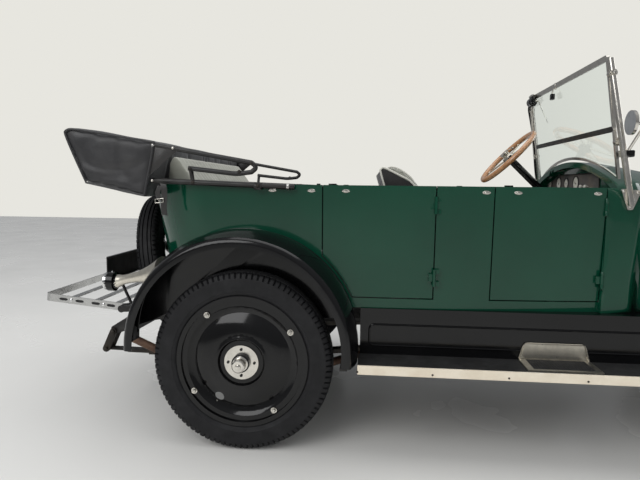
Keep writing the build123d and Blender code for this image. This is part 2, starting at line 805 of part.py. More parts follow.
def radiator_shell():
    face_row = (radiator_x,) + bonnet_front[1:5] + (bonnet_top + 6,)
    outer = extrude(arch_section(*face_row, radiator_bottom, -4), radiator_depth, dir=(1, 0, 0))
    inner_row = (radiator_x - 5,) + face_row[1:]
    hole = extrude(arch_section(*inner_row, radiator_bottom + 46, 46), radiator_depth + 10, dir=(1, 0, 0))
    shell = outer - hole
    shell += block((radiator_x + 10, radiator_x + 74), (-300, 300), (sheet_top - 40, radiator_bottom + 20)) - \
        block((radiator_x, radiator_x + 90), (-250, 250), (sheet_top - 60, radiator_bottom + 1))
    neck = Pos(radiator_x + 42, 0, bonnet_top + 4) * extrude(Circle(30), 18)
    cap = Pos(radiator_x + 42, 0, bonnet_top + 20) * extrude(Circle(36), 22)
    return shell + neck + cap + lid_hinge(lid_hinge_radius)


def radiator_core():
    row = (radiator_x + 16,) + bonnet_front[1:5] + (bonnet_top + 6,)
    return extrude(arch_section(*row, radiator_bottom + 46 + seat_gap, 46 + seat_gap), 50, dir=(1, 0, 0))


# Fenders

def crown_curve(inner, outer, crown):
    """The outer line of a fender's crown in Y and radius, from the body to the turned edge."""
    return [
        ThreePointArc((inner, crown), (inner + 0.52 * (outer - inner), crown + 1), (outer - 26, crown - 17)),
        ThreePointArc((outer - 26, crown - 17), (outer - 6, crown - 27), (outer, crown - 43)),
    ]


def fender_section(inner, outer, crown, lip):
    """Crown and turned lip in Y and radius, with the sheet's thickness."""
    t = fender_sheet
    top = Curve() + crown_curve(inner, outer, crown) + [
        Line((outer, crown - 43), (outer, lip)),
        Line((outer, lip), (outer - t, lip)),
        Line((outer - t, lip), (outer - t, crown - 44)),
        ThreePointArc((outer - t, crown - 44), (outer - 10, crown - 30), (outer - 28, crown - 17 - t)),
        ThreePointArc((outer - 28, crown - 17 - t), (inner + 0.52 * (outer - inner), crown + 1 - t),
                      (inner, crown - t)),
        Line((inner, crown - t), (inner, crown)),
    ]
    return make_face(top)


def rear_fender(body):
    section = fender_section(fender_inner_y, fender_outer_y, fender_crown_radius, fender_lip_radius)
    face = Plane.YZ * section
    crown = revolve(Rot(0, -91, 0) * face, Axis.Y, revolution_arc=187)
    radius = fender_crown_radius - 1
    disc = Circle(radius)
    cut = polygon((-600, -600), (600, -600), (600, 60), (430, 112), (-350, 112), (-500, 25), (-600, 5))
    wall_face = disc - make_face(cut)
    wall = extrude(Pos(0, fender_inner_y - 3, 0) * (Plane.XZ * wall_face), 3 + fender_sheet, dir=(0, 1, 0))
    shape = Pos(rear_fender_x, 0, rear_fender_z) * (crown + wall)
    return shape - body


def tangent_rise(start, centre, radius):
    """The angle of the line from a point that is tangent to the top of a circle."""
    dx, dz = centre[0] - start[0], centre[1] - start[1]
    return atan2(dz, dx) + asin(radius / hypot(dx, dz))


def front_fender_path(radius):
    """Running board level, up over the front wheel, down to the tip."""
    centre = (front_fender_x, front_fender_z)
    low = (board_front_x + 60, front_fender_z - 440 + board_top - 10)
    rise = tangent_rise(low, centre, radius)
    tip = radians(16)
    normal_start = rise + pi / 2
    half_turn = (normal_start - tip) / 2
    far = radius / cos(half_turn)
    corner_angle = (normal_start + tip) / 2
    corner = (centre[0] + far * cos(corner_angle), centre[1] + far * sin(corner_angle))
    end = (centre[0] + radius * cos(tip), centre[1] + radius * sin(tip))
    points = [(board_front_x + seat_gap, low[1]), low, corner, end]
    return FilletPolyline(*[(x, 0, z) for x, z in points], radius=[70, radius * 0.999])


def front_fender():
    radius = fender_crown_radius - 6
    path = front_fender_path(radius)
    section = fender_section(fender_inner_y - 14, fender_outer_y, 0, fender_lip_radius - fender_crown_radius)
    start = Plane(origin=path @ 0, x_dir=(0, 1, 0), z_dir=(1, 0, 0))
    return sweep(start * section, path)


def front_apron():
    """The sloped inner skirt between a front fender and the ledge under the bonnet."""
    centre = (front_fender_x, front_fender_z)
    radius = fender_crown_radius - 6
    y_top = fender_inner_y - 14 - seat_gap
    low = (board_front_x + 60, front_fender_z - 440 + board_top - 10)
    rise = tangent_rise(low, centre, radius)
    touch_x = centre[0] - radius * sin(rise)
    sections = []
    for x in (1960, 2120, touch_x, 2440, 2540, 2634):
        if x <= touch_x:
            z_top = low[1] + (x - low[0]) * tan(rise) - 6
        else:
            z_top = centre[1] + sqrt(radius ** 2 - (x - centre[0]) ** 2) - 6
        row = arch_between(bonnet_rear, bonnet_front, x)
        y_low = row[1] + 6
        z_low = bonnet_bottom - 12
        y_mid, z_mid = blend(y_low, y_top, 0.5), blend(z_low, z_top, 0.3)
        outline = polygon((y_low, z_low), (y_mid, z_mid), (y_top, z_top), (y_top, z_top - 5),
                          (y_mid, z_mid - 5), (y_low, z_low - 5))
        sections.append(Pos(x, 0, 0) * (Plane.YZ * make_face(outline)))
    notch = block((pitman_x - 40, pitman_x + 40), (300, pitman_y[1] + 14), (600, 680))
    return loft(sections, ruled=True) - notch


def front_fenders():
    return both_sides(group(front_fender(), front_apron()))


# Boards, valances and step plates

def valance():
    low = board_top - board_thickness
    y = valance_y
    face = block((board_rear_x + 6, board_front_x), (y, y + 4), (low, sill_height - seat_gap))
    top = block((board_rear_x + 6, board_front_x), (380, y + 4), (sheet_top, sill_height - seat_gap))
    ring = RectangleRounded(1250, 98, 24) - RectangleRounded(1236, 84, 18)
    mid_x = board_rear_x + 42 + 625
    bead = extrude(Pos(mid_x, y + 3, 490) * (Plane.XZ * ring), 4, dir=(0, 1, 0))
    return face + top + bead


def running_board():
    y = (valance_y + 4 + seat_gap, board_outer_y - 7 - seat_gap)
    return block((board_rear_x, board_front_x), y, (board_top - board_thickness, board_top))


def board_moulding():
    """The metal edge of a board, an angle with a lip on top."""
    x = (board_rear_x, board_front_x)
    edge = block(x, (board_outer_y - 7, board_outer_y), (board_top - 38, board_top + 4))
    lip = block(x, (board_outer_y - 30, board_outer_y - 1), (board_top + seat_gap, board_top + 4))
    return edge + lip


def step_plates():
    """Kick plate on the valance and the framed mat on the board below it."""
    z = board_top + 2
    outline = FilletPolyline((1158, z), (1180, z + 74), (1428, z + 74), (1450, z), radius=[6, 26, 26, 6],
                             close=True)
    kick = side_plate(outline, (valance_y + 7 + seat_gap, valance_y + 11))
    mat_y = (valance_y + 14, board_outer_y - 31)
    mat = block((1160, 1448), mat_y, (board_top + seat_gap, board_top + 6))
    return group(kick, mat)


# Windshield

def windshield_point(y, z):
    return (glass_x - (z - glass_z) * tan(radians(glass_lean)), y, z)


windshield_plane = Plane(origin=(glass_x, 0, glass_z), x_dir=(0, 1, 0),
                         z_dir=(cos(radians(glass_lean)), 0, sin(radians(glass_lean))))


def pane_height(z):
    return (z - glass_z) / cos(radians(glass_lean))


def lower_pane_outline(inset):
    """From the middle rail down to an arch that follows the cowl."""
    half = glass_half_width - 14 - inset
    side = pane_height(1178) + inset
    crown = pane_height(1286) + inset
    top = -12 - inset
    return Curve() + [
        Line((-half, top), (half, top)),
        Line((half, top), (half, side)),
        ThreePointArc((half, side), (0, crown), (-half, side)),
        Line((-half, side), (-half, top)),
    ]


def windshield_glass():
    t = glass_thickness
    half = glass_half_width - 14
    top = pane_height(windshield_top) - 14
    upper = Pos(0, (12 + top) / 2) * Rectangle(2 * half - 2 * seat_gap, top - 12 - 2 * seat_gap)
    lower = make_face(lower_pane_outline(seat_gap))
    panes = [extrude(windshield_plane * (Pos(0, 0, -t / 2) * pane), t) for pane in (upper, lower)]
    return group(*panes)


def windshield_post(side, radius):
    """The round post at one side, from its foot on the cowl to the top of the frame."""
    base = (1590, side * (front_half_width + 2), 1060)
    head = windshield_point(side * (glass_half_width + 18), windshield_top - 8)
    return bar(base, head, radius)


def windshield_frame():
    deep = 12
    half = glass_half_width
    top = pane_height(windshield_top)
    upper = Pos(0, top / 2) * RectangleRounded(2 * half, top + 24, 16)
    hole = Pos(0, (12 + top - 14) / 2) * Rectangle(2 * (half - 14), top - 14 - 12)
    shape = extrude(windshield_plane * (Pos(0, 0, -deep / 2) * (upper - hole)), deep)
    lower_side = pane_height(1178)
    outer = Curve() + [
        Line((-half, -4), (half, -4)), Line((half, -4), (half, lower_side - 10)),
        ThreePointArc((half, lower_side - 10), (0, pane_height(1286) - 14), (-half, lower_side - 10)),
        Line((-half, lower_side - 10), (-half, -4)),
    ]
    lower = make_face(outer) - make_face(lower_pane_outline(0))
    shape += extrude(windshield_plane * (Pos(0, 0, -deep / 2) * lower), deep)
    for side in (-1, 1):
        shape += windshield_post(side, post_radius)
        for z in (1322, 1600):
            inner = windshield_point(side * (glass_half_width - 5), z)
            outer_point = windshield_point(side * (glass_half_width + 40), z)
            shape += bar(inner, outer_point, 12)
    bracket = windshield_bracket()
    return shape + bracket + mirror(bracket, about=Plane.XZ)


def windshield_bracket():
    """The three-cornered plate on the cowl's left side that carries a post."""
    first, second = cowl_table[0], cowl_table[1]
    slope = degrees(atan2(second[1] - first[1], second[0] - first[0]))
    outline = FilletPolyline((48, 1128), (140, 1120), (106, 1040), (84, 1040), radius=[10, 10, 10, 10],
                             close=True)
    return Pos(first[0], first[1], 0) * Rot(0, 0, slope) * side_plate(outline, (seat_gap, 10))


def side_mirror():
    y, z = -(glass_half_width + 128), mirror_z
    disc = bar((1541, y, z), (1553, y, z), 48)
    stalk = bar((1553, y, z), (1592, y + 6, z - 3), 6)
    stalk += bent_bar([(1586, y + 5, z - 2), (1606, y + 14, z - 2), (1562, y + 62, 1268)], [10], 6)
    clamp = windshield_post(-1, post_radius + 7) & block((1400, 1700), (-700, -400), (1256, 1282))
    return disc + (stalk + clamp - windshield_post(-1, post_radius + seat_gap))


# Seats

def soft_block(x, y, z, radius):
    shape = block(x, y, z)
    return fillet(shape.edges(), radius)


def cabin_space():
    """The room inside the tub, a seat gap away from its walls."""
    floor = sill_height + floor_thickness
    inset = body_wall + seat_gap
    return loft([tub_outline(floor, inset, tub_front_x), tub_outline(belt_height + 150, inset, tub_front_x)],
                ruled=True)


def seat_frames(space):
    floor = sill_height + floor_thickness + seat_gap
    front = block((755, 1290), (-560, 560), (floor, 770)) - block((825, 1265), (-540, 540), (floor - 1, 745))
    panel = side_plate(polygon(*front_panel_side), (-wing_y - 12, wing_y + 12))
    wing = side_plate(polygon(*front_wing_side), (wing_y, wing_y + 12))
    rear = block((-330, 170), (-560, 560), (floor, 770)) - block((-305, 145), (-540, 540), (floor - 1, 745))
    return group(front + panel + both_sides(wing), rear & space)


def seat_back(side_view, half):
    outline = FilletPolyline(*side_view, radius=9, close=True)
    return side_plate(outline, (-half, half))


def front_seat():
    cushion = soft_block((775, 1310), (-550, 550), (770 + seat_gap, seat_top), 30)
    return group(cushion, seat_back(front_back_side, wing_y - seat_gap))


def rear_seat(space):
    cushion = soft_block((-330, 190), (-550, 550), (770 + seat_gap, seat_top), 30)
    return group(cushion & space, seat_back(rear_back_side, 570) & space)


# Folded top

def top_bag(body):
    outline = polygon((-788, 1345), (-758, 1366), (-376, 1306), (-424, 1102), (-428, 1067), (-692, 1128))
    bag = side_plate(outline, (-bag_half_width, bag_half_width))
    bag = fillet(bag.edges().filter_by(Axis.Y), 14)
    flap = polygon((-395, 1306), (-300, 1290), (-279, 1280), (-292, 1262), (-410, 1160))
    flap = side_plate(flap, (bag_half_width - 6, bag_half_width))
    return bag + both_sides(flap) - body - both_sides(top_iron(seat_gap))


def top_iron(grow):
    """The side tube along the belt with its clamp, and the folded bow's hairpin above it."""
    y, bow_y = iron_y, iron_y + 26
    tube = bent_bar([(-455, y, 1143), (-227, y, 1135), (207, y, 1120)], [2000], 12 + grow)
    clamp = block((38, 68), (y - 19, y + 14), (1108, 1138))
    bow = bent_bar([(-390, bow_y, 1291), (30, bow_y, 1219), (54, bow_y, 1200), (30, bow_y, 1180),
                    (-33, bow_y, 1172), (-239, bow_y, 1194)], [12, 12, 12, 200], 10 + grow)
    post = bar((-230, bow_y, 1192), (-230, y, 1136), 9)
    return tube + clamp + bow + post


# Rear end: spare wheel, lamps, plate bracket and luggage rack

spare_place = Pos(spare_x, 0, spare_z) * Rot(0, -spare_lean, 0) * Rot(0, 0, 90)


def spare_carrier():
    rim = wheel_rim()
    plate = turned(polygon((0, -24), (150, -24), (150, -32), (0, -32)))
    arm_end = bead_radius - rim_sheet / 2
    arm = Pos((arm_end + 140) / 2, -28, 0) * Box(arm_end - 140, 8, 44)
    shape = rim + plate
    for turn in (90, 210, 330):
        shape += Rot(0, turn, 0) * arm
    shape = spare_place * shape
    for y in (-60, 60):
        foot = (rear_cross_x - 30 - seat_gap, y, rail_top - 24)
        shape += bent_bar([foot, (foot[0] - 25, y, foot[2]), (spare_x + 34, y, spare_z - 70)], [14], 11)
    return shape


def headlamp():
    """A bowl with its rim and lens, facing +X."""
    r = headlamp_radius
    outline = Curve() + [
        ThreePointArc((0, -98), (0.62 * r, -72), (0.92 * r, -6)),
        Polyline((0.92 * r, -6), (r, -2), (r, 20), (0.93 * r, 26)),
        ThreePointArc((0.93 * r, 26), (0.5 * r, 35), (6, 38)),
        Polyline((6, 38), (0, 38), (0, -98)),
    ]
    return Pos(headlamp_x, headlamp_y, headlamp_z) * Rot(0, 0, -90) * turned(outline)


def cowl_lamp():
    """A small bullet lamp on a short stem from the cowl's side."""
    outline = Curve() + [
        ThreePointArc((0, -62), (28, -44), (38, 0)),
        Polyline((38, 0), (42, 3), (42, 12), (36, 16)),
        ThreePointArc((36, 16), (20, 22), (4, 24)),
        Polyline((4, 24), (0, 24), (0, -62)),
    ]
    lamp = Pos(cowl_lamp_x, cowl_lamp_y, cowl_lamp_z) * Rot(0, 0, -90) * turned(outline)
    row = arch_between(cowl_table[1], cowl_table[2], cowl_lamp_x - 10)
    foot = (cowl_lamp_x - 10, row[1] - 10, row[2] - 20)
    stem = bar(foot, (cowl_lamp_x - 10, cowl_lamp_y, cowl_lamp_z - 20), 9)
    return lamp + (stem - arch_loft(cowl_table, sill_height, -seat_gap))


def front_lamps():
    foot = (headlamp_x - 66, headlamp_y, rail_top - 12)
    head = (headlamp_x - 30, headlamp_y, headlamp_z - 60)
    side = headlamp() + stand_on(bar(foot, head, 14), frame_rail())
    z = headlamp_z - headlamp_radius - 14
    tie_x = blend(foot[0], head[0], (z - foot[2]) / (head[2] - foot[2]))
    tie = bar((tie_x, -headlamp_y - 20, z), (tie_x, headlamp_y + 20, z), 10)
    return group(side + mirror(side, about=Plane.XZ) + tie, both_sides(cowl_lamp()))


def tail_lamp():
    """A drum on a trumpet-shaped stalk from the rear fender's crown."""
    start = Vector(-602, tail_lamp_y, tail_lamp_z)
    towards = Vector(-345, tail_lamp_y + 70, tail_lamp_z + 62)
    drum = bar((-628, tail_lamp_y, tail_lamp_z), (-600, tail_lamp_y, tail_lamp_z), 43)
    ring = bar((-640, tail_lamp_y, tail_lamp_z), (-628, tail_lamp_y, tail_lamp_z), 39)
    length = (towards - start).length
    outline = Curve() + [
        Polyline((0, 0), (33, 0), (21, 50)),
        ThreePointArc((21, 50), (25, 135), (66, length)),
        Line((66, length), (0, length)),
        Line((0, length), (0, 0)),
    ]
    place = Plane(origin=start, z_dir=towards - start)
    trumpet = place * Rot(90, 0, 0) * turned(outline)
    top = crown_curve(fender_inner_y, fender_outer_y, fender_crown_radius + seat_gap)
    fill = Curve() + top + [Polyline(top[-1] @ 1, (fender_outer_y, 0), (fender_inner_y, 0), top[0] @ 0)]
    under = Pos(rear_fender_x, 0, rear_fender_z) * revolve(Plane.YZ * make_face(fill), Axis.Y)
    return drum + ring + (trumpet - under)


def plate_bracket():
    """The bare plate with folded edges, facing backwards, and its leg, on the right frame horn only."""
    x = plate_x
    y, z = (plate_y - 178, plate_y + 178), (672, 785)
    plate = block((x, x + 4), y, z) + block((x, x + 14), y, (z[1] - 4, z[1])) + block((x, x + 14), y, (z[0], z[0] + 4))
    for hole_y in (plate_y - plate_hole_spacing / 2, plate_y + plate_hole_spacing / 2):
        plate -= bar((x - 10, hole_y, plate_hole_z), (x + 10, hole_y, plate_hole_z), plate_hole_radius)
    leg = bar((x + 6, -430, 690), (x + 96, -430, 490), 7)
    rail = mirror(frame_rail(), about=Plane.XZ)
    return plate + stand_on(leg, rail)


def luggage_rack():
    """A frame of flat bar on edge with slats, hinged at its front corners."""
    half = rack_half_width
    outer = Pos(-rack_length / 2, 0) * RectangleRounded(rack_length + 30, 2 * half, 30)
    inner = Pos(-rack_length / 2, 0) * RectangleRounded(rack_length + 18, 2 * half - 12, 24)
    frame = extrude(Pos(0, 0, -rack_bar / 2) * (outer - inner), rack_bar)
    for distance in rack_slat_places:
        frame += block((-distance - 13, -distance + 13), (3 - half, half - 3), (rack_bar / 2 - 8, rack_bar / 2 - 2))
    for side in (-1, 1):
        frame += bar((0, side * (half - 6), 0), (0, side * half, 0), 17)
        frame -= bar((0, side * (half - 20), 0), (0, side * (half + 5), 0), rack_pin_radius + bearing_gap)
    return Pos(rack_hinge_x, 0, rack_hinge_z) * Rot(0, rack_tilt, 0) * frame


def hang(body, hinges):
    """A body shell with both sides' hinge leaves and room for the doors' own leaves."""
    shape = body - both_sides(hinges[2])
    return shape + both_sides(hinges[1])


def hung_door(panel, hinges, side):
    leaf, body_room = hinges[0], hinges[3]
    if side < 0:
        leaf, body_room = [mirror(piece, about=Plane.XZ) for piece in (leaf, body_room)]
    return panel + leaf - body_room


def build():
    shell = tub_shell()
    solid_body = tub_solid(seat_gap)
    space = cabin_space()
    rear_hinges = door_hinges(rear_door_front_x)
    front_hinges = door_hinges(tub_front_x - door_gap / 2)
    parts = {
        "chassis_frame": chassis_frame(),
        "leaf_springs": leaf_springs(),
        "rear_axle": rear_axle(),
        "front_axle": front_axle(),
        "knuckle_left": knuckle(1),
        "knuckle_right": knuckle(-1),
        "tie_rod": tie_rod(),
        "drag_link": drag_link(),
        "pitman_arm": pitman_arm(),
        "steering_column": steering_column(),
        "steering_wheel": steering_wheel(),
        "engine_block": engine_block(),
        "gearbox_and_tube": gearbox_and_tube(),
        "exhaust": exhaust(),
        "fuel_tank": fuel_tank(),
        "body_tub": hang(body_tub(shell), rear_hinges),
        "cowl": hang(cowl(), front_hinges),
        "bonnet_left": bonnet(1),
        "bonnet_right": bonnet(-1),
        "radiator_shell": radiator_shell(),
        "radiator_core": radiator_core(),
        "rear_fenders": both_sides(rear_fender(solid_body)),
        "front_fenders": front_fenders(),
        "valances": both_sides(valance()),
        "running_boards": both_sides(running_board()),
        "board_mouldings": both_sides(board_moulding()),
        "step_plates": both_sides(step_plates()),
        "windshield_frame": windshield_frame(),
        "windshield_glass": windshield_glass(),
        "side_mirror": side_mirror(),
        "seat_frames": seat_frames(space),
        "front_seat": front_seat(),
        "rear_seat": rear_seat(space),
        "top_bag": top_bag(solid_body),
        "top_irons": both_sides(top_iron(0)),
        "spare_tyre": spare_place * tyre(),
        "spare_carrier": spare_carrier(),
        "tail_lamps": both_sides(tail_lamp()),
        "front_lamps": front_lamps(),
        "plate_bracket": plate_bracket(),
        "luggage_rack": luggage_rack(),
    }
    for side, name in ((1, "left"), (-1, "right")):
        rear_panel = door(shell, rear_door_block(-door_gap / 2), side)
        front_panel = door(shell, front_door_block(-door_gap / 2, tub_front_x - door_gap), side)
        parts["door_rear_" + name] = hung_door(rear_panel, rear_hinges, side)
        parts["door_front_" + name] = hung_door(front_panel, front_hinges, side)
        for x, end in ((0, "rear"), (wheelbase, "front")):
            parts["wheel_" + end + "_" + name] = place_wheel(wheel(end == "rear"), x, side)
            parts["tyre_" + end + "_" + name] = place_wheel(tyre(), x, side)
    return parts


os.makedirs("parts", exist_ok=True)
pieces = build()
boxes = [piece.bounding_box() for piece in pieces.values()]
rear_end, front_end = min(box.min.X for box in boxes), max(box.max.X for box in boxes)
middle_x = (rear_end + front_end) / 2
for name, piece in pieces.items():
    export_step(Pos(-middle_x, 0, 0) * piece, "parts/" + name + ".step")
print("rear end", round(rear_end, 2), "front end", round(front_end, 2), "middle", round(middle_x, 4))
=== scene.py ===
import bpy
import bmesh
import json
from math import atan2, cos, hypot, pi, radians, sin, tan
from mathutils import Matrix, Vector, noise
from mathutils.bvhtree import BVHTree


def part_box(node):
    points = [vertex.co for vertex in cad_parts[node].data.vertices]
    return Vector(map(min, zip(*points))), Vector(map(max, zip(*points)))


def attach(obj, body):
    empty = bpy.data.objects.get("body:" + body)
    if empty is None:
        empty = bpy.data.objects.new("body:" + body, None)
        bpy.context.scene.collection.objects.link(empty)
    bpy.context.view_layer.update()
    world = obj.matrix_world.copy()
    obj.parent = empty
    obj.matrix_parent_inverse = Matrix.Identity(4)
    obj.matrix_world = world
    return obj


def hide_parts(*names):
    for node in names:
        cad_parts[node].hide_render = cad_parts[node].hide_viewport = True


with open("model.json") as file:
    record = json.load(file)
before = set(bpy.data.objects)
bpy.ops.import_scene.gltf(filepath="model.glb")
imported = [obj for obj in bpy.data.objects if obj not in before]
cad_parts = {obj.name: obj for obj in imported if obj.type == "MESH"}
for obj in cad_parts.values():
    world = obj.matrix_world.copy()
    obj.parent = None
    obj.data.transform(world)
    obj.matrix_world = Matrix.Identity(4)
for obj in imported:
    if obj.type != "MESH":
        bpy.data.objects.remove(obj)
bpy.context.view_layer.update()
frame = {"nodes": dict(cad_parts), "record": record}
print("frame loaded with", len(frame["nodes"]), "nodes")

# Places are millimetres from the rear axle's middle on the ground: X forward, Y to the left, Z up
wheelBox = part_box("wheel_rear_left")
axleX = (wheelBox[0].x + wheelBox[1].x) * 500


def at(x, y, z):
    return Vector((axleX + x, y, z)) / 1000


# Shader maths: a wire is one output socket, and expressions on wires add Math nodes
class Wire:
    def __init__(self, nodes, socket):
        self.nodes = nodes
        self.socket = socket

    def maths(self, operation, first, second):
        return self.nodes.node("Math", {"operation": operation}, {0: first, 1: second})

    def __add__(self, other):
        return self.maths("ADD", self, other)

    def __radd__(self, other):
        return self.maths("ADD", other, self)

    def __sub__(self, other):
        return self.maths("SUBTRACT", self, other)

    def __rsub__(self, other):
        return self.maths("SUBTRACT", other, self)

    def __mul__(self, other):
        return self.maths("MULTIPLY", self, other)

    def __rmul__(self, other):
        return self.maths("MULTIPLY", other, self)


class Nodes:
    def __init__(self, tree):
        self.tree = tree

    def node(self, kind, settings={}, values={}, out=0):
        made = self.tree.nodes.new("ShaderNode" + kind)
        for key, value in settings.items():
            if key == "stops":
                while len(made.color_ramp.elements) < len(value):
                    made.color_ramp.elements.new(0.5)
                for element, (position, colour) in zip(made.color_ramp.elements, value):
                    shade = colour if isinstance(colour, tuple) else (colour,) * 3
                    element.position = position
                    element.color = (*shade, 1)
            else:
                setattr(made, key, value)
        for socket, value in values.items():
            self.feed(made.inputs[socket], value)
        return Wire(self, made.outputs[out])

    def feed(self, socket, value):
        if isinstance(value, Wire):
            self.tree.links.new(value.socket, socket)
        else:
            socket.default_value = value

    def ramp(self, wire, *stops):
        return self.node("ValToRGB", {"stops": stops}, {0: wire})

    def sine(self, wire):
        return self.node("Math", {"operation": "SINE"}, {0: wire})


class Paint(Nodes):
    def __init__(self, name, colour, **fixed):
        self.material = bpy.data.materials.new(name)
        self.material.use_nodes = True
        super().__init__(self.material.node_tree)
        self.shader = self.tree.nodes["Principled BSDF"]
        self.set("Base Color", (*colour, 1))
        for socket, value in fixed.items():
            self.set(socket.replace("_", " "), value)

    def set(self, socket, value):
        self.feed(self.shader.inputs[socket], value)

    def place(self, scale=None):
        spot = self.node("TexCoord", out="Object")
        return self.node("Mapping", {}, {"Vector": spot, "Scale": scale}) if scale else spot

    def noise(self, scale, detail=3.0, rough=0.5, spot=None):
        return self.node("TexNoise", {}, {"Vector": spot or self.place(), "Scale": scale, "Detail": detail,
                                          "Roughness": rough})

    def pebbles(self, scale):
        return self.node("TexVoronoi", {"feature": "SMOOTH_F1"}, {"Vector": self.place(), "Scale": scale},
                         out="Distance")

    def mix(self, share, first, second):
        first, second = [(*c, 1) if isinstance(c, tuple) else c for c in (first, second)]
        return self.node("Mix", {"data_type": "RGBA"}, {0: share, 6: first, 7: second}, out=2)

    def axis(self, letter):
        return self.node("SeparateXYZ", {}, {0: self.place()}, out=letter)

    def cloud(self, pattern, start, end, first, second):
        # Two colours in soft patches
        self.set("Base Color", self.mix(self.ramp(pattern, (start, 0), (end, 1)), first, second))

    def gloss(self, pattern, start, end, low, high):
        # Roughness between two values
        self.set("Roughness", self.ramp(pattern, (start, low), (end, high)))

    def bump(self, height, distance, strength, under=None):
        values = {"Height": height, "Distance": distance, "Strength": strength}
        if under:
            values["Normal"] = under
        wire = self.node("Bump", {}, values)
        self.set("Normal", wire)
        return wire


# Hand-brushed coach enamel: slow waves in the panels, fine orange peel and a film of dust
enamelLook = {"cloud": 2.2, "dust": 9, "dulling": 0.13, "waves": 3.5, "waveDepth": 0.0012, "peel": 420,
              "peelDepth": 0.00008, "reflection": 0.3}


def enamel(name, colour, deep, gloss, coat):
    paint = Paint(name, colour, Coat_Weight=coat, Coat_Roughness=0.03,
                  Specular_IOR_Level=enamelLook["reflection"])
    paint.cloud(paint.noise(enamelLook["cloud"], 4), 0.3, 0.75, colour, deep)
    paint.gloss(paint.noise(enamelLook["dust"], 6, 0.65), 0.35, 0.8, gloss, gloss + enamelLook["dulling"])
    waves = paint.bump(paint.noise(enamelLook["waves"], 2), enamelLook["waveDepth"], 0.3)
    paint.bump(paint.noise(enamelLook["peel"], 2), enamelLook["peelDepth"], 0.35, waves)
    return paint.material


# Plated metal with a wiped film and small scratches
plateLook = {"streaks": 35, "stretch": (1, 1, 14), "scratchDepth": 0.00006, "dull": 0.72}


def brightMetal(name, colour, low, high, grain=60):
    paint = Paint(name, colour, Metallic=1.0)
    film = paint.noise(grain, 5, 0.6)
    streaks = paint.noise(plateLook["streaks"], spot=paint.place(plateLook["stretch"]))
    paint.gloss(film * 0.6 + streaks * 0.4, 0.3, 0.75, low, high)
    dull = tuple(c * plateLook["dull"] for c in colour)
    paint.cloud(paint.noise(grain * 0.4, 5, 0.7), 0.45, 0.85, colour, dull)
    paint.bump(streaks, plateLook["scratchDepth"], 0.3)
    return paint.material


# Painted or bare iron with a slightly pitted skin
ironLook = {"cloud": 12, "film": 30, "pits": 450, "pitDepth": 0.0004}


def plainMetal(name, colour, deep, rough, metallic, pits=ironLook["pits"], depth=ironLook["pitDepth"]):
    paint = Paint(name, colour, Metallic=metallic)
    paint.cloud(paint.noise(ironLook["cloud"], 6, 0.65), 0.35, 0.7, colour, deep)
    paint.gloss(paint.noise(ironLook["film"], 5), 0.3, 0.8, rough - 0.1, rough + 0.15)
    paint.bump(paint.noise(pits, 4), depth, 0.4)
    return paint.material


# Rubber greyed by dust
rubberLook = {"dust": 14, "film": 25, "grain": 700, "paler": 1.8, "lift": 0.004, "reflection": 0.3}


def rubber(name, colour, depth=0.0005):
    paint = Paint(name, colour, Specular_IOR_Level=rubberLook["reflection"])
    pale = tuple(c * rubberLook["paler"] + rubberLook["lift"] for c in colour)
    paint.cloud(paint.noise(rubberLook["dust"], 6, 0.7), 0.42, 0.85, colour, pale)
    paint.gloss(paint.noise(rubberLook["film"], 5), 0.3, 0.8, 0.5, 0.72)
    paint.bump(paint.noise(rubberLook["grain"], 4), depth, 0.4)
    return paint.material


# Coated cloth or leather: irregular pebbles with dull and rubbed areas
hideLook = {"wear": 7, "film": 16, "folds": 38, "foldDepth": 0.0016}


def grained(name, colour, pale, pebble, depth, low, high):
    paint = Paint(name, colour, Sheen_Weight=0.15, Sheen_Roughness=0.5)
    paint.cloud(paint.noise(hideLook["wear"], 6, 0.6), 0.4, 0.8, colour, pale)
    paint.gloss(paint.noise(hideLook["film"], 4), 0.3, 0.75, low, high)
    folds = paint.bump(paint.noise(hideLook["folds"], 5, 0.6), hideLook["foldDepth"], 0.5)
    paint.bump(paint.pebbles(pebble), depth, 0.5, folds)
    return paint.material


# Soft upholstery hide in two tones that change in soft random patches, with folds and a fine pebbled grain
seatLook = {"wear": 5, "film": 18, "folds": 26, "foldDepth": 0.0018, "pebble": 520, "pebbleDepth": 0.0004}


def pleatCloth(name, colour, deep):
    paint = Paint(name, colour, Sheen_Weight=0.2, Sheen_Roughness=0.45)
    paint.cloud(paint.noise(seatLook["wear"], 6, 0.6), 0.35, 0.75, colour, deep)
    paint.gloss(paint.noise(seatLook["film"], 4), 0.3, 0.75, 0.42, 0.6)
    folds = paint.bump(paint.noise(seatLook["folds"], 5, 0.6), seatLook["foldDepth"], 0.45)
    paint.bump(paint.pebbles(seatLook["pebble"]), seatLook["pebbleDepth"], 0.5, folds)
    return paint.material


# Varnished wood with its grain drawn out
woodLook = {"grain": 30, "stretch": (1, 6, 1), "depth": 0.0002}


def wood(name, colour, deep):
    paint = Paint(name, colour, Coat_Weight=0.8, Coat_Roughness=0.08)
    streak = paint.noise(woodLook["grain"], 5, 0.6, paint.place(woodLook["stretch"]))
    paint.cloud(streak, 0.35, 0.7, colour, deep)
    paint.gloss(streak, 0.2, 0.8, 0.2, 0.35)
    paint.bump(streak, woodLook["depth"], 0.3)
    return paint.material


def glass(name, colour):
    paint = Paint(name, colour, Transmission_Weight=1.0, IOR=1.45)
    paint.gloss(paint.noise(18, 5), 0.5, 0.9, 0.0, 0.05)
    return paint.material


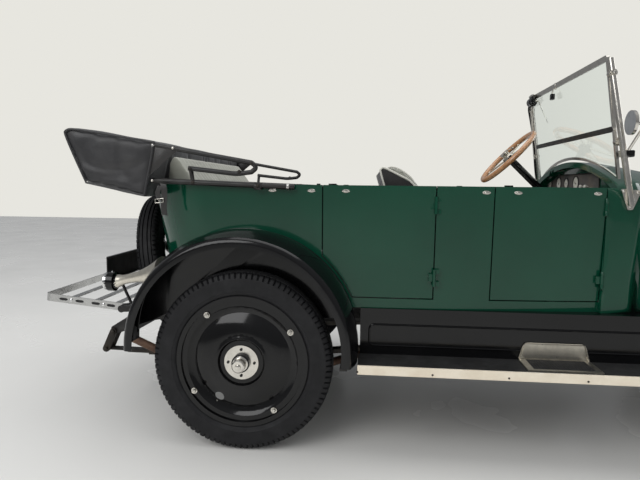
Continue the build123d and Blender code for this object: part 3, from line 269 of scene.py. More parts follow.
def lensGlass(name, colour, flutes):
    # Pressed lamp glass over a bright reflector, with upright flutes; the colour is painted lighter along
    # each flute as painted glints from the reflector
    paint = Paint(name, colour, Coat_Weight=1.0, Coat_Roughness=0.02, Metallic=0.55)
    wave = paint.sine(paint.axis("Y") * flutes)
    # Painted highlight: stripes of lighter colour follow the flutes
    paint.cloud(wave * 0.5 + 0.5, 0.1, 0.9, colour, tuple(min(1, c * 1.25 + 0.05) for c in colour))
    paint.gloss(paint.noise(40), 0.3, 0.8, 0.06, 0.16)
    paint.bump(wave, 0.0012, 0.6)
    return paint.material


# Upright water tubes with thin fins across them, with painted shade: the gaps between them are coloured near
# black
coreLook = {"tubes": 620, "fins": 900, "metal": (0.2, 0.17, 0.12), "gap": (0.008, 0.008, 0.008),
            "depth": 0.003}


def honeycomb(name):
    paint = Paint(name, coreLook["metal"], Metallic=0.4)
    tubes = paint.sine(paint.axis("Y") * coreLook["tubes"])
    fins = paint.sine(paint.axis("Z") * coreLook["fins"])
    gaps = paint.ramp((tubes * 0.5 + 0.5) * (fins * 0.5 + 0.5), (0.15, 0), (0.55, 1))
    # Painted shade: the gap colour darkens the openings between tubes and fins
    paint.set("Base Color", paint.mix(gaps, coreLook["metal"], coreLook["gap"]))
    paint.gloss(paint.noise(50, 4), 0.3, 0.8, 0.4, 0.6)
    paint.bump(1 - gaps, coreLook["depth"], 0.8)
    return paint.material


def dialFace(name, colour, yellowed):
    paint = Paint(name, colour, Coat_Weight=1.0, Coat_Roughness=0.03)
    paint.gloss(paint.noise(60), 0.3, 0.8, 0.3, 0.45)
    paint.cloud(paint.noise(45, 4), 0.4, 0.8, colour, yellowed)
    return paint.material


# Colours, then roughness and the like
paints = {
    "green": enamel("greenEnamel", (0.002, 0.052, 0.027), (0.0015, 0.038, 0.02), 0.08, 0.35),
    "black": enamel("blackEnamel", (0.002, 0.002, 0.0022), (0.0045, 0.0045, 0.005), 0.1, 0.2),
    "nickel": brightMetal("polishedNickel", (0.74, 0.71, 0.65), 0.1, 0.28),
    "chrome": brightMetal("polishedChrome", (0.8, 0.8, 0.8), 0.05, 0.2),
    "dullChrome": brightMetal("cloudedPlate", (0.56, 0.56, 0.55), 0.12, 0.4, 34),
    "mirror": brightMetal("silveredGlass", (0.86, 0.88, 0.88), 0.01, 0.04),
    "aluminium": brightMetal("satinAluminium", (0.74, 0.7, 0.61), 0.25, 0.45),
    "cream": plainMetal("agedMoulding", (0.84, 0.76, 0.62), (0.74, 0.65, 0.51), 0.42, 0.1, 300, 0.0001),
    "steel": brightMetal("bareSteel", (0.5, 0.49, 0.47), 0.2, 0.4),
    "chassis": plainMetal("chassisBlack", (0.007, 0.007, 0.007), (0.018, 0.016, 0.014), 0.42, 0.0),
    "spring": plainMetal("oiledSteel", (0.02, 0.018, 0.016), (0.05, 0.04, 0.03), 0.5, 0.5),
    "iron": plainMetal("castIron", (0.12, 0.12, 0.12), (0.2, 0.17, 0.14), 0.6, 0.5),
    "exhaust": plainMetal("heatedSteel", (0.09, 0.05, 0.035), (0.18, 0.11, 0.07), 0.6, 0.6),
    "tyre": rubber("tyreRubber", (0.008, 0.008, 0.009)),
    "mat": rubber("matRubber", (0.016, 0.016, 0.016), 0.0003),
    "carpet": rubber("floorMat", (0.03, 0.028, 0.025), 0.0008),
    "hood": grained("hoodCloth", (0.013, 0.013, 0.015), (0.032, 0.031, 0.031), 850, 0.0004, 0.36, 0.55),
    "leather": grained("blackLeather", (0.012, 0.011, 0.011), (0.026, 0.024, 0.022), 420, 0.0006, 0.32, 0.5),
    "stone": pleatCloth("stoneLeather", (0.33, 0.33, 0.28), (0.24, 0.24, 0.2)),
    "piping": grained("palePiping", (0.5, 0.49, 0.43), (0.6, 0.58, 0.52), 600, 0.0003, 0.4, 0.55),
    "wood": wood("rimWood", (0.5, 0.26, 0.12), (0.33, 0.15, 0.065)),
    "glass": glass("clearGlass", (0.93, 0.98, 0.96)),
    "redGlass": glass("redGlass", (0.55, 0.02, 0.015)),
    "lens": lensGlass("flutedLens", (0.7, 0.72, 0.7), 420),
    "redLens": lensGlass("redLens", (0.42, 0.012, 0.01), 0),
    "dial": dialFace("dialFace", (0.72, 0.7, 0.62), (0.62, 0.59, 0.5)),
    "core": honeycomb("coreTubes"),
}
print("paints made")


# Shared shop work. Every shape is a bmesh in metres, and points closer than this are one
mergeWithin = {"made": 0.000005, "cad": 0.00002}


def millimetres(spot):
    return spot.x * 1000 - axleX, spot.y * 1000, spot.z * 1000


def facing(origin, direction, turn=0):
    lie = Vector(direction).to_track_quat("Z", "Y").to_matrix().to_4x4()
    return Matrix.Translation(at(*origin)) @ lie @ Matrix.Rotation(radians(turn), 4, "Z")


def sideways(y):
    # A flat outline of X and Z whose thickness runs along -Y from here
    return Matrix.Translation(at(0, y, 0)) @ Matrix.Rotation(radians(90), 4, "X")


def lengthways(x):
    # A flat outline of Y and Z whose thickness runs along X from here
    return Matrix(((0, 0, 1, (axleX + x) / 1000), (1, 0, 0, 0), (0, 1, 0, 0), (0, 0, 0, 1)))


def soften(shape, edge, segments=2, limit=30):
    if edge:
        sharp = [e for e in shape.edges if len(e.link_faces) == 2 and e.calc_face_angle(0) > radians(limit)]
        bmesh.ops.bevel(shape, geom=sharp, offset=edge / 1000, affect="EDGES", segments=segments, profile=0.5,
                        clamp_overlap=True, material=-1)


def join(*shapes):
    whole = bmesh.new()
    for shape in shapes:
        mesh = bpy.data.meshes.new("joined")
        shape.to_mesh(mesh)
        shape.free()
        whole.from_mesh(mesh)
        bpy.data.meshes.remove(mesh)
    return whole


def paintAs(shape, index):
    for face in shape.faces:
        face.material_index = index
    return shape


def turned(profile, steps=24, place=None, closed=False):
    # A profile of radius and height spun about Z
    shape = bmesh.new()
    verts = [shape.verts.new((radius / 1000, 0, height / 1000)) for radius, height in profile]
    edges = [shape.edges.new(pair) for pair in zip(verts, verts[1:] + (verts[:1] if closed else []))]
    bmesh.ops.spin(shape, geom=verts + edges, cent=(0, 0, 0), axis=(0, 0, 1), angle=2 * pi, steps=steps,
                   use_merge=True, use_duplicate=False)
    bmesh.ops.remove_doubles(shape, verts=shape.verts, dist=mergeWithin["made"])
    bmesh.ops.recalc_face_normals(shape, faces=shape.faces)
    if place:
        bmesh.ops.transform(shape, matrix=place, verts=shape.verts)
    return shape


def slab(outline, thickness, place, edge=0.5):
    # A flat outline given a thickness along its own Z
    shape = bmesh.new()
    face = shape.faces.new([shape.verts.new((x / 1000, y / 1000, 0)) for x, y in outline])
    made = bmesh.ops.extrude_face_region(shape, geom=[face])
    top = [part for part in made["geom"] if isinstance(part, bmesh.types.BMVert)]
    bmesh.ops.translate(shape, vec=(0, 0, thickness / 1000), verts=top)
    bmesh.ops.recalc_face_normals(shape, faces=shape.faces)
    soften(shape, edge)
    bmesh.ops.transform(shape, matrix=place, verts=shape.verts)
    return shape


def brick(x, y, z, edge=1.0):
    shape = bmesh.new()
    bmesh.ops.create_cube(shape, size=1)
    low, high = at(x[0], y[0], z[0]), at(x[1], y[1], z[1])
    bmesh.ops.scale(shape, vec=high - low, verts=shape.verts)
    bmesh.ops.translate(shape, vec=(low + high) / 2, verts=shape.verts)
    soften(shape, edge)
    return shape


def tube(points, radius, smooth=True, closed=False, sides=3):
    # A round tube along a NURBS line, or along straight runs
    curve = bpy.data.curves.new("run", "CURVE")
    curve.dimensions = "3D"
    curve.bevel_depth = radius / 1000
    curve.bevel_resolution = sides
    curve.use_fill_caps = True
    line = curve.splines.new("NURBS" if smooth else "POLY")
    line.points.add(len(points) - 1)
    for knot, point in zip(line.points, points):
        knot.co = (*at(*point), 1)
    line.use_cyclic_u = closed
    if smooth:
        line.order_u = 3
        line.use_endpoint_u = not closed
        line.resolution_u = 8
    holder = bpy.data.objects.new("run", curve)
    mesh = bpy.data.meshes.new_from_object(holder)
    shape = bmesh.new()
    shape.from_mesh(mesh)
    bmesh.ops.remove_doubles(shape, verts=shape.verts, dist=mergeWithin["made"])
    bmesh.ops.recalc_face_normals(shape, faces=shape.faces)
    bpy.data.objects.remove(holder)
    bpy.data.curves.remove(curve)
    return shape


def band(points, across, thickness):
    # A flat strip through a few points, as wide as the vector across
    shape = bmesh.new()
    half = Vector(across) / 2000
    edge = shape.edges.new([shape.verts.new(at(*points[0]) + side * half) for side in (-1, 1)])
    for last, point in zip(points, points[1:]):
        made = bmesh.ops.extrude_edge_only(shape, edges=[edge])["geom"]
        moved = [part for part in made if isinstance(part, bmesh.types.BMVert)]
        bmesh.ops.translate(shape, vec=at(*point) - at(*last), verts=moved)
        edge = next(part for part in made
                    if isinstance(part, bmesh.types.BMEdge) and set(part.verts) == set(moved))
    bmesh.ops.recalc_face_normals(shape, faces=shape.faces)
    bmesh.ops.solidify(shape, geom=shape.faces[:], thickness=thickness / 1000)
    bmesh.ops.recalc_face_normals(shape, faces=shape.faces)
    soften(shape, thickness * 0.3, 1, 60)
    return shape


def nut(origin, direction, radius, height, turn=0):
    dome = [(0, height * 1.45), (radius * 0.45, height * 1.35), (radius * 0.72, height),
            (radius * 0.95, height), (radius, height * 0.85), (radius, 0), (0, 0)]
    return turned(dome, 6, facing(origin, direction, turn))


def rivet(origin, direction, radius, height, steps=12):
    profile = [(0, height), (radius * 0.55, height * 0.9), (radius * 0.9, height * 0.45), (radius, 0), (0, 0)]
    return turned(profile, steps, facing(origin, direction))


def finishMesh(name, shape, paint, body="root", smooth=35):
    shape = join(*shape) if isinstance(shape, list) else shape
    mesh = bpy.data.meshes.new(name)
    shape.to_mesh(mesh)
    shape.free()
    piece = bpy.data.objects.new(name, mesh)
    bpy.context.scene.collection.objects.link(piece)
    for each in [paint] if isinstance(paint, str) else paint:
        mesh.materials.append(paints[each])
    mesh.shade_smooth()
    mesh.set_sharp_from_angle(angle=radians(smooth))
    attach(piece, body)
    return piece


nodeBody = {node: body for body, nodes in frame["record"]["behaviour"]["bodies"].items() for node in nodes}
hands = ((1, "left"), (-1, "right"))


def mergedNode(node):
    shape = bmesh.new()
    shape.from_mesh(frame["nodes"][node].data)
    bmesh.ops.remove_doubles(shape, verts=shape.verts, dist=mergeWithin["cad"])
    return shape


def dressNode(node, paint, edge=0.0, pick=None, shift=None):
    # A merged copy of a CAD node with its sharp edges softened, in place of the node
    shape = mergedNode(node)
    if shift:
        for vert in shape.verts:
            vert.co += Vector(shift(*millimetres(vert.co))) / 1000
    soften(shape, edge, 2, 40)
    if pick:
        shape.normal_update()
        for face in shape.faces:
            face.material_index = paint.index(pick(*millimetres(face.calc_center_median()), face.normal))
    piece = finishMesh(node + "Dressed", shape, paint, nodeBody[node])
    even = piece.modifiers.new("even", "WEIGHTED_NORMAL")
    even.keep_sharp = True
    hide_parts(node)


skins = {}
rayStart = {"outside": 1500, "inside": 300}


def onSkin(node, x, z, side, start="outside"):
    # The surface of a node that a level ray meets at its side, and the way it faces
    if node not in skins:
        mesh = frame["nodes"][node].data
        skins[node] = BVHTree.FromPolygons([v.co for v in mesh.vertices], [p.vertices for p in mesh.polygons])
    way = Vector((0, side if start == "inside" else -side, 0))
    spot, normal = skins[node].ray_cast(at(x, side * rayStart[start], z), way)[:2]
    return millimetres(spot), tuple(normal if normal.y * side > 0 else -normal)


# Tyres: ribs along the tread and lugs cut into both shoulders
tyreShape = {"lugs": 96, "stepsPerLug": 5, "notchFrom": (365, 34.2), "notchDepth": 5.5, "notchSide": 5.0,
             "crown": 379, "crownShares": (0.75, 0.2)}
# Half of a tyre's section, from the bead to the crown: radius and distance from the middle plane
tyreHalf = [(268.3, 43.7), (283, 42.6), (287, 47.5), (292, 50.5), (301, 53.4), (303, 54.9), (306, 54.9),
            (308, 54.6), (332, 57.8), (350, 56.6), (354, 57.2), (357, 56.2), (366, 53.4), (374.5, 50),
            (378, 46.5), (381.3, 38), (382, 35), (376.5, 33.5), (376.5, 29.5), (383, 28), (384, 16),
            (378, 14.6), (378, 10.6), (384.6, 9)]


def makeTyre(name, node, place):
    ring = tyreHalf + [(radius, -y) for radius, y in reversed(tyreHalf)]
    steps = tyreShape["lugs"] * tyreShape["stepsPerLug"]
    fromRadius, fromHeight = tyreShape["notchFrom"]
    shape = turned(ring, steps, None, closed=True)
    for vert in shape.verts:
        radius, height = hypot(vert.co.x, vert.co.y) * 1000, vert.co.z * 1000
        step = round(atan2(vert.co.y, vert.co.x) / (2 * pi) * steps) % steps
        if step % tyreShape["stepsPerLug"] == 0 and radius > fromRadius and abs(height) > fromHeight:
            cut, pull = (1, 1) if radius < tyreShape["crown"] else tyreShape["crownShares"]
            share = 1 - tyreShape["notchDepth"] / radius * cut
            vert.co.x *= share
            vert.co.y *= share
            vert.co.z -= (1 if height > 0 else -1) * tyreShape["notchSide"] / 1000 * pull
    bmesh.ops.transform(shape, matrix=place, verts=shape.verts)
    bmesh.ops.recalc_face_normals(shape, faces=shape.faces)
    piece = finishMesh(name, shape, "tyre", nodeBody[node], 32)
    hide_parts(node)


# Wheels: radius and height are from the wheel's middle, with the outer side up
wheelTrim = {"track": 711, "radius": 385, "frontX": 2616, "edge": 0.8, "discHeight": 40.5, "backHeight": -20,
             "backRadius": 60, "hubRadius": 31, "hubHeight": 69, "flangeRadius": 75, "flangeHeight": 45.4,
             "bossRadius": 41, "bossHeight": 52.4, "capHeight": 111.8,
             "cap": [(0, 5.5), (8, 5), (12, 3), (13.5, 0), (0, 0)], "stemTurn": 238, "stemSize": 4,
             "stem": ((252, 4), (236, 14), (212, 24)), "stemCapAt": (214, 23),
             "stemCap": [(0, 10), (4.6, 9), (5, 0), (0, 0)]}
wheelNuts = {"radius": 56, "turns": (0, 90, 180, 270), "height": 51.8, "size": (6.5, 5)}
rimBolts = {"radius": 246, "turns": (33, 127, 213, 304), "seat": 10.5, "lugHeight": 39.6, "nutHeight": 51.5,
            "nutSize": (9.5, 6), "washerHeight": 44.4, "washer": [(0, 0), (13, 0), (13, 2), (0, 2)],
            "lug": [(-13, -10), (9, -13), (17, 0), (9, 13), (-13, 10)], "lugThickness": 5, "lugEdge": 1.2}


def wheelFace(side, x0):
    def pick(x, y, z, normal):
        dx, dz, height = x - x0, z - wheelTrim["radius"], side * y - wheelTrim["track"]
        radius = hypot(dx, dz)
        if height > wheelTrim["discHeight"]:
            for turn in rimBolts["turns"]:
                boltX, boltZ = (rimBolts["radius"] * reach(radians(turn)) for reach in (cos, sin))
                if hypot(dx - boltX, dz - boltZ) < rimBolts["seat"]:
                    return "steel"
        if height < wheelTrim["backHeight"] and radius > wheelTrim["backRadius"]:
            return "iron"
        if radius < wheelTrim["hubRadius"] and height > wheelTrim["hubHeight"]:
            return "nickel"
        boss = radius < wheelTrim["bossRadius"] and height > wheelTrim["bossHeight"]
        flange = radius < wheelTrim["flangeRadius"] and height > wheelTrim["flangeHeight"]
        return "nickel" if flange and not boss else "black"
    return pick


def wheelDetails(name, body, side, x0):
    out = (0, side, 0)

    def spot(radius, turn, height):
        return (x0 + radius * cos(radians(turn)), side * (wheelTrim["track"] + height),
                wheelTrim["radius"] + radius * sin(radians(turn)))

    dark, bright = [], []
    for turn in wheelNuts["turns"]:
        dark.append(nut(spot(wheelNuts["radius"], turn, wheelNuts["height"]), out, *wheelNuts["size"], turn))
    for turn in rimBolts["turns"]:
        lugSpot, nutSpot, washerSpot = (spot(rimBolts["radius"], turn, rimBolts[key])
                                        for key in ("lugHeight", "nutHeight", "washerHeight"))
        lie = facing(lugSpot, out) @ Matrix.Rotation(radians(turn), 4, "Z")
        dark.append(slab(rimBolts["lug"], rimBolts["lugThickness"], lie, rimBolts["lugEdge"]))
        bright.append(nut(nutSpot, out, *rimBolts["nutSize"], turn))
        bright.append(turned(rimBolts["washer"], 20, facing(washerSpot, out)))
    stem = [spot(radius, wheelTrim["stemTurn"], height) for radius, height in wheelTrim["stem"]]
    bright.append(tube(stem, wheelTrim["stemSize"], sides=4))
    radius, height = wheelTrim["stemCapAt"]
    stemEnd = facing(spot(radius, wheelTrim["stemTurn"], height), Vector(stem[2]) - Vector(stem[1]))
    bright.append(turned(wheelTrim["stemCap"], 12, stemEnd))
    bright.append(turned(wheelTrim["cap"], 8, facing(spot(0, 0, wheelTrim["capHeight"]), out)))
    shapes = [paintAs(piece, 0) for piece in dark] + [paintAs(piece, 1) for piece in bright]
    finishMesh(name, shapes, ["black", "nickel"], body, smooth=30)


for end, x0 in (("rear", 0), ("front", wheelTrim["frontX"])):
    for side, hand in hands:
        wheelNode, corner = "wheel_" + end + "_" + hand, end.title() + hand.title()
        dressNode(wheelNode, ["black", "nickel", "steel", "iron"], wheelTrim["edge"], wheelFace(side, x0))
        hub = facing((x0, side * wheelTrim["track"], wheelTrim["radius"]), (0, side, 0))
        makeTyre("tyre" + corner, "tyre_" + end + "_" + hand, hub)
        wheelDetails("wheelBolts" + corner, nodeBody[wheelNode], side, x0)
spare = {"x": -558, "z": 698, "lean": 11}
sparePlace = (Matrix.Translation(at(spare["x"], 0, spare["z"]))
              @ Matrix.Rotation(radians(-spare["lean"]), 4, "Y") @ Matrix.Rotation(radians(90), 4, "Y"))
makeTyre("spareTyreTreaded", "spare_tyre", sparePlace)
print("wheels and tyres made")

# Body: enamel outside, hide on the inner faces, mats on the floor
lining = {"floor": (615, 640), "above": 625, "half": 628, "rearX": -400, "footZ": 830, "footHalf": 560,
          "tubEdge": 2.5, "doorEdge": 1.5}


def tubFace(x, y, z, normal):
    low, high = lining["floor"]
    if abs(normal.z) > 0.9 and low < z < high:
        return "carpet"
    inward = normal.y * y < 0 and abs(normal.y) > 0.3 and abs(y) < lining["half"]
    rearWall = normal.x > 0.3 and x < lining["rearX"]
    return "leather" if z > lining["above"] and (inward or rearWall) else "green"


def cowlFace(x, y, z, normal):
    return "carpet" if normal.z > 0.5 and z < lining["footZ"] and abs(y) < lining["footHalf"] else "green"


dressNode("body_tub", ["green", "leather", "carpet"], lining["tubEdge"], tubFace)
for place in ("rear", "front"):
    for side, hand in hands:
        dressNode("door_" + place + "_" + hand, ["green", "leather", "carpet"], lining["doorEdge"], tubFace)
dressNode("cowl", ["green", "carpet"], 0, cowlFace)

# Turn buttons along the belt: an oval plate with a knob and two eyelets
buttons = {"height": 1105, "plate": [(0, 1.8), (8.8, 1.6), (10, 0.4), (10, -1), (0, -1)],
           "knob": [(0, 5), (3.6, 4.6), (4.4, 3.6), (3.4, 1)],
           "eye": [(0, 2.4), (1.3, 2.1), (1.6, 1.4), (0, 1.4)],
           "stretch": (1.65, 0.75), "knobStretch": (1.9, 0.75), "eyeReach": 12.8,
           "places": ((110, "body_tub"), (277, "body_tub"), (423, "door_rear"), (1003, "body_tub"),
                      (1132, "door_front"), (1457, "door_front"))}
# Rubber buffers and latch blocks on the belt: X from and to, and the middle's Y
belt = {"buffer": (298, 314, 634), "bufferZ": (1130, 1135.5), "bufferHalf": 5,
        "latches": (("front", 1079, 1113, 612), ("rear", 349, 383, 636)), "latchZ": (1129.8, 1136),
        "latchHalf": 7}


def turnButton(spot, normal):
    plate = turned(buttons["plate"], 28)
    bmesh.ops.transform(plate, matrix=Matrix.Diagonal((*buttons["stretch"], 1, 1)), verts=plate.verts)
    knob = turned(buttons["knob"], 16)
    bmesh.ops.transform(knob, matrix=Matrix.Diagonal((*buttons["knobStretch"], 1, 1)), verts=knob.verts)
    eyes = [turned(buttons["eye"], 10, Matrix.Translation((way * buttons["eyeReach"] / 1000, 0, 0)))
            for way in (-1, 1)]
    button = join(plate, knob, *eyes)
    across = facing(spot, normal)
    along = across.to_3x3() @ Vector((1, 0, 0))
    turn = 0 if abs(along.x) > 0.7 else 90
    bmesh.ops.transform(button, matrix=across @ Matrix.Rotation(radians(turn), 4, "Z"), verts=button.verts)
    return button


for side, hand in hands:
    for x, node in buttons["places"]:
        owner = node if node == "body_tub" else node + "_" + hand
        button = turnButton(*onSkin(owner, x, buttons["height"], side))
        finishMesh("turnButton" + str(x) + hand.title(), button, "nickel", nodeBody[owner])
    start, end, y = belt["buffer"]
    half = belt["bufferHalf"]
    buffer = brick((start, end), (side * y - half, side * y + half), belt["bufferZ"], 2)
    finishMesh("beltBuffer" + hand.title(), buffer, "mat")
    half = belt["latchHalf"]
    for door, start, end, y in belt["latches"]:
        block = brick((start, end), (side * y - half, side * y + half), belt["latchZ"], 2)
        name, body = "latchBlock" + door.title() + hand.title(), nodeBody["door_" + door + "_" + hand]
        finishMesh(name, block, "black", body)
print("buttons set")

# Fender welts along the joint with the body, screws of the board moulding, kick plate's border, mat and bead
welt = {"centre": (-10, 445), "radius": 494, "turns": range(16, 166, 6), "y": 635.5, "size": 3.2}
screws = {"x": (487, 785, 1080, 1378, 1676), "y": 814.8, "z": 384, "size": (4.6, 1.8)}
step = {"border": [(1166, 409), (1184, 476), (1425, 476), (1442, 409)], "borderY": 647.4, "borderSize": 1.6,
        "mat": (1187, 1423), "matY": (651, 768), "matZ": (410.9, 411.8), "ribs": 21, "ribPitch": 11,
        "firstRib": (1192, 1198), "ribY": (656, 764), "ribZ": (410.8, 413)}
bead = {"middle": 1154, "y": 638.5, "size": 4, "corner": 21,
        "corners": ((600.5, 514.5, 0), (-600.5, 514.5, 90), (-600.5, 465.5, 180), (600.5, 465.5, 270))}
for side, hand in hands:
    (weltX, weltZ), radius = welt["centre"], welt["radius"]
    line = [(weltX + radius * cos(radians(turn)), side * welt["y"], weltZ + radius * sin(radians(turn)))
            for turn in welt["turns"]]
    finishMesh("fenderWelt" + hand.title(), tube(line, welt["size"], sides=2), "black")
    heads = [rivet((x, side * screws["y"], screws["z"]), (0, side, 0), *screws["size"]) for x in screws["x"]]
    finishMesh("mouldingScrews" + hand.title(), heads, "spring")
    rim = tube([(x, side * step["borderY"], z) for x, z in step["border"]], step["borderSize"], smooth=False,
               closed=True, sides=2)
    finishMesh("kickPlateBorder" + hand.title(), rim, "aluminium")
    matY, ribY = (sorted(side * y for y in step[key]) for key in ("matY", "ribY"))
    mat = [brick(step["mat"], matY, step["matZ"], 0.3)]
    mat += [brick([x + step["ribPitch"] * i for x in step["firstRib"]], ribY, step["ribZ"], 0.8)
            for i in range(step["ribs"])]
    finishMesh("stepMat" + hand.title(), mat, "mat")
    corners = [(x + bead["corner"] * cos(radians(turn)), z + bead["corner"] * sin(radians(turn)))
               for x, z, first in bead["corners"] for turn in range(first, first + 91, 15)]
    outline = tube([(x + bead["middle"], side * bead["y"], z) for x, z in corners], bead["size"],
                   smooth=False, closed=True, sides=2)
    finishMesh("valanceBead" + hand.title(), outline, "black")

moulding = {"lip": 795, "lipTo": 803, "below": 370, "raise": 6}
screenRail = {"z": 1377, "half": 13, "end": 512, "edge": 2.2}


def mouldingShift(x, y, z):
    # The lip and the lower edge are narrower than the solid's
    out = (1 if y > 0 else -1) * moulding["lipTo"] - y if abs(y) < moulding["lip"] else 0
    return 0, out, moulding["raise"] if z < moulding["below"] else 0


def railFace(x, y, z, normal):
    # The rail between the two panes is black
    rail = abs(z - screenRail["z"]) < screenRail["half"] and abs(y) < screenRail["end"]
    return "chassis" if rail else "nickel"


for node, paint, edge in (
        ("bonnet_left", "green", 0.8), ("bonnet_right", "green", 0.8), ("rear_fenders", "black", 0),
        ("front_fenders", "black", 0), ("valances", "black", 1.0), ("running_boards", "mat", 1.0),
        ("step_plates", "aluminium", 1.2), ("radiator_shell", "nickel", 3.0),
        ("radiator_core", "core", 0), ("windshield_glass", "glass", 0),
        ("steering_column", "black", 0), ("engine_block", "iron", 4.0), ("gearbox_and_tube", "iron", 0),
        ("exhaust", "exhaust", 0), ("fuel_tank", "chassis", 0), ("chassis_frame", "chassis", 0),
        ("leaf_springs", "spring", 0), ("rear_axle", "chassis", 0), ("front_axle", "chassis", 0),
        ("knuckle_left", "chassis", 0), ("knuckle_right", "chassis", 0), ("tie_rod", "chassis", 0),
        ("drag_link", "chassis", 0), ("pitman_arm", "chassis", 0), ("seat_frames", "leather", 2.0),
        ("top_irons", "chassis", 0), ("spare_carrier", "black", 0), ("plate_bracket", "chassis", 0),
        ("luggage_rack", "dullChrome", 1.0)):
    dressNode(node, paint, edge)
dressNode("windshield_frame", ["nickel", "chassis"], screenRail["edge"], railFace)
dressNode("board_mouldings", "cream", 1.2, shift=mouldingShift)
print("bodywork dressed")

# Lamps and mirror: bright shells with lens and reflector faces picked out
headlamp = {"y": 358, "z": 950, "lensX": 2837, "lensRadius": 99, "bezelX": 2826, "nutX": 2832, "nutZ": 1061,
            "bezel": [(100, 0), (109, 0), (110.5, 4), (109.5, 12), (104, 17), (100, 16)]}
cowlLamp = {"y": 598, "z": 1148, "lensX": (1694, 1720), "lensRadius": 35.5, "bezelX": 1689,
            "bezel": [(37, 0), (43, 0), (44, 3), (42, 8), (38, 9)]}
tailLamp = {"y": 640, "z": 692, "lensX": -639.5, "lensRadius": 31, "ringX": -634, "drumX": -590,
            "bezelX": -639.6, "domeX": -640, "nutX": -614, "nutZ": 734.5,
            "bezel": [(30, -1), (39.5, -1), (40, 3), (37, 6), (33, 6.5), (30, 4)],
            "dome": [(0, 9), (16, 7.5), (27, 3.5), (31, 0), (0, 0)]}
mirror = {"x": 1542, "y": -650, "z": 1387, "radius": 45}


def fromLamp(lamp, y, z):
    return hypot(abs(y) - lamp["y"], z - lamp["z"])


def frontLampFace(x, y, z, normal):
    rear, front = cowlLamp["lensX"]
    head = x > headlamp["lensX"] and fromLamp(headlamp, y, z) < headlamp["lensRadius"]
    cowl = rear < x < front and fromLamp(cowlLamp, y, z) < cowlLamp["lensRadius"]
    return "lens" if head or cowl else "nickel"


def tailLampFace(x, y, z, normal):
    if x < tailLamp["lensX"] and fromLamp(tailLamp, y, z) < tailLamp["lensRadius"]:
        return "redLens"
    return "chrome" if x < tailLamp["ringX"] else "black" if x < tailLamp["drumX"] else "aluminium"


def mirrorFace(x, y, z, normal):
    front = normal.x < -0.9 and x < mirror["x"]
    return "mirror" if front and hypot(y - mirror["y"], z - mirror["z"]) < mirror["radius"] else "nickel"


def lampRing(lamp, side, ahead, steps):
    place = facing((lamp["bezelX"], side * lamp["y"], lamp["z"]), (ahead, 0, 0))
    return turned(lamp["bezel"], steps, place, closed=True)


dressNode("front_lamps", ["nickel", "lens"], 0, frontLampFace)
dressNode("tail_lamps", ["aluminium", "black", "chrome", "redLens"], 0.8, tailLampFace)
dressNode("side_mirror", ["nickel", "mirror"], 1.0, mirrorFace)
tailTrim, frontTrim = [], []
for side in (-1, 1):
    tailTrim.append(lampRing(tailLamp, side, -1, 40))
    domePlace = facing((tailLamp["domeX"], side * tailLamp["y"], tailLamp["z"]), (-1, 0, 0))
    tailTrim.append(paintAs(turned(tailLamp["dome"], 32, domePlace), 1))
    tailTrim.append(nut((tailLamp["nutX"], side * tailLamp["y"], tailLamp["nutZ"]), (0, 0, 1), 5, 4))
    frontTrim.append(lampRing(headlamp, side, 1, 56))
    frontTrim.append(nut((headlamp["nutX"], side * headlamp["y"], headlamp["nutZ"]), (0, 0, 1), 5, 6))
    frontTrim.append(lampRing(cowlLamp, side, 1, 40))
finishMesh("tailLampTrim", tailTrim, ["chrome", "redGlass"])
finishMesh("lampBezels", frontTrim, "chrome")
print("lamps dressed")

# Steering wheel: wood rim over a light alloy spider, with levers on their quadrant
steer = {"centre": (1325, 345, 1306), "angle": 44.1, "rimFrom": 172, "hub": 38, "hubBelow": -6,
         "screwTurns": (45, 135, 225, 315), "screwRadii": (160, 168), "screwHeight": -4.5, "buttonHeight": 25,
         "levers": ((20, 96), (-25, 84)), "leverHeight": 33, "leverBend": (0.6, 6), "leverSize": 2.6,
         "quadrantHeight": 31}
centre = Vector(steer["centre"])
steerUp = Vector((-cos(radians(steer["angle"])), 0, sin(radians(steer["angle"]))))
steerPlace = facing(steer["centre"], steerUp)


def steerFace(x, y, z, normal):
    offset = Vector((x, y, z)) - centre
    height = offset.dot(steerUp)
    radius = (offset - steerUp * height).length
    if radius > steer["rimFrom"]:
        return "wood"
    return "aluminium" if radius > steer["hub"] or height > steer["hubBelow"] else "black"


dressNode("steering_wheel", ["wood", "aluminium", "black"], 0, steerFace)
bolts = [turned([(0, 2), (3, 1.5), (3.6, 0), (0, 0)], 10, steerPlace @ Matrix.Rotation(radians(turn), 4, "Z")
                @ Matrix.Translation((radius / 1000, 0, steer["screwHeight"] / 1000)))
         for turn in steer["screwTurns"] for radius in steer["screwRadii"]]
bolts.append(turned([(0, 6), (12, 5), (17, 2), (18, 0), (0, 0)], 28,
                    steerPlace @ Matrix.Translation((0, 0, steer["buttonHeight"] / 1000))))
finishMesh("wheelRimScrews", bolts, "nickel", nodeBody["steering_wheel"])
levers = []
for turn, length in steer["levers"]:
    reach = steerPlace.to_3x3() @ Vector((cos(radians(turn)), sin(radians(turn)), 0)) * length
    start = centre + steerUp * steer["leverHeight"]
    bendAt, bendUp = steer["leverBend"]
    levers.append(tube([start, start + reach * bendAt + steerUp * bendUp, start + reach], steer["leverSize"]))
    levers.append(turned([(0, 7), (5, 5), (6.5, 0), (5, -5), (0, -7)], 14, facing(start + reach, reach)))
levers.append(turned([(0, 3), (27, 3), (30, 0), (27, -2), (0, -2)], 32,
                     facing(centre + steerUp * steer["quadrantHeight"], steerUp)))
finishMesh("wheelLevers", levers, "nickel", nodeBody["steering_wheel"])

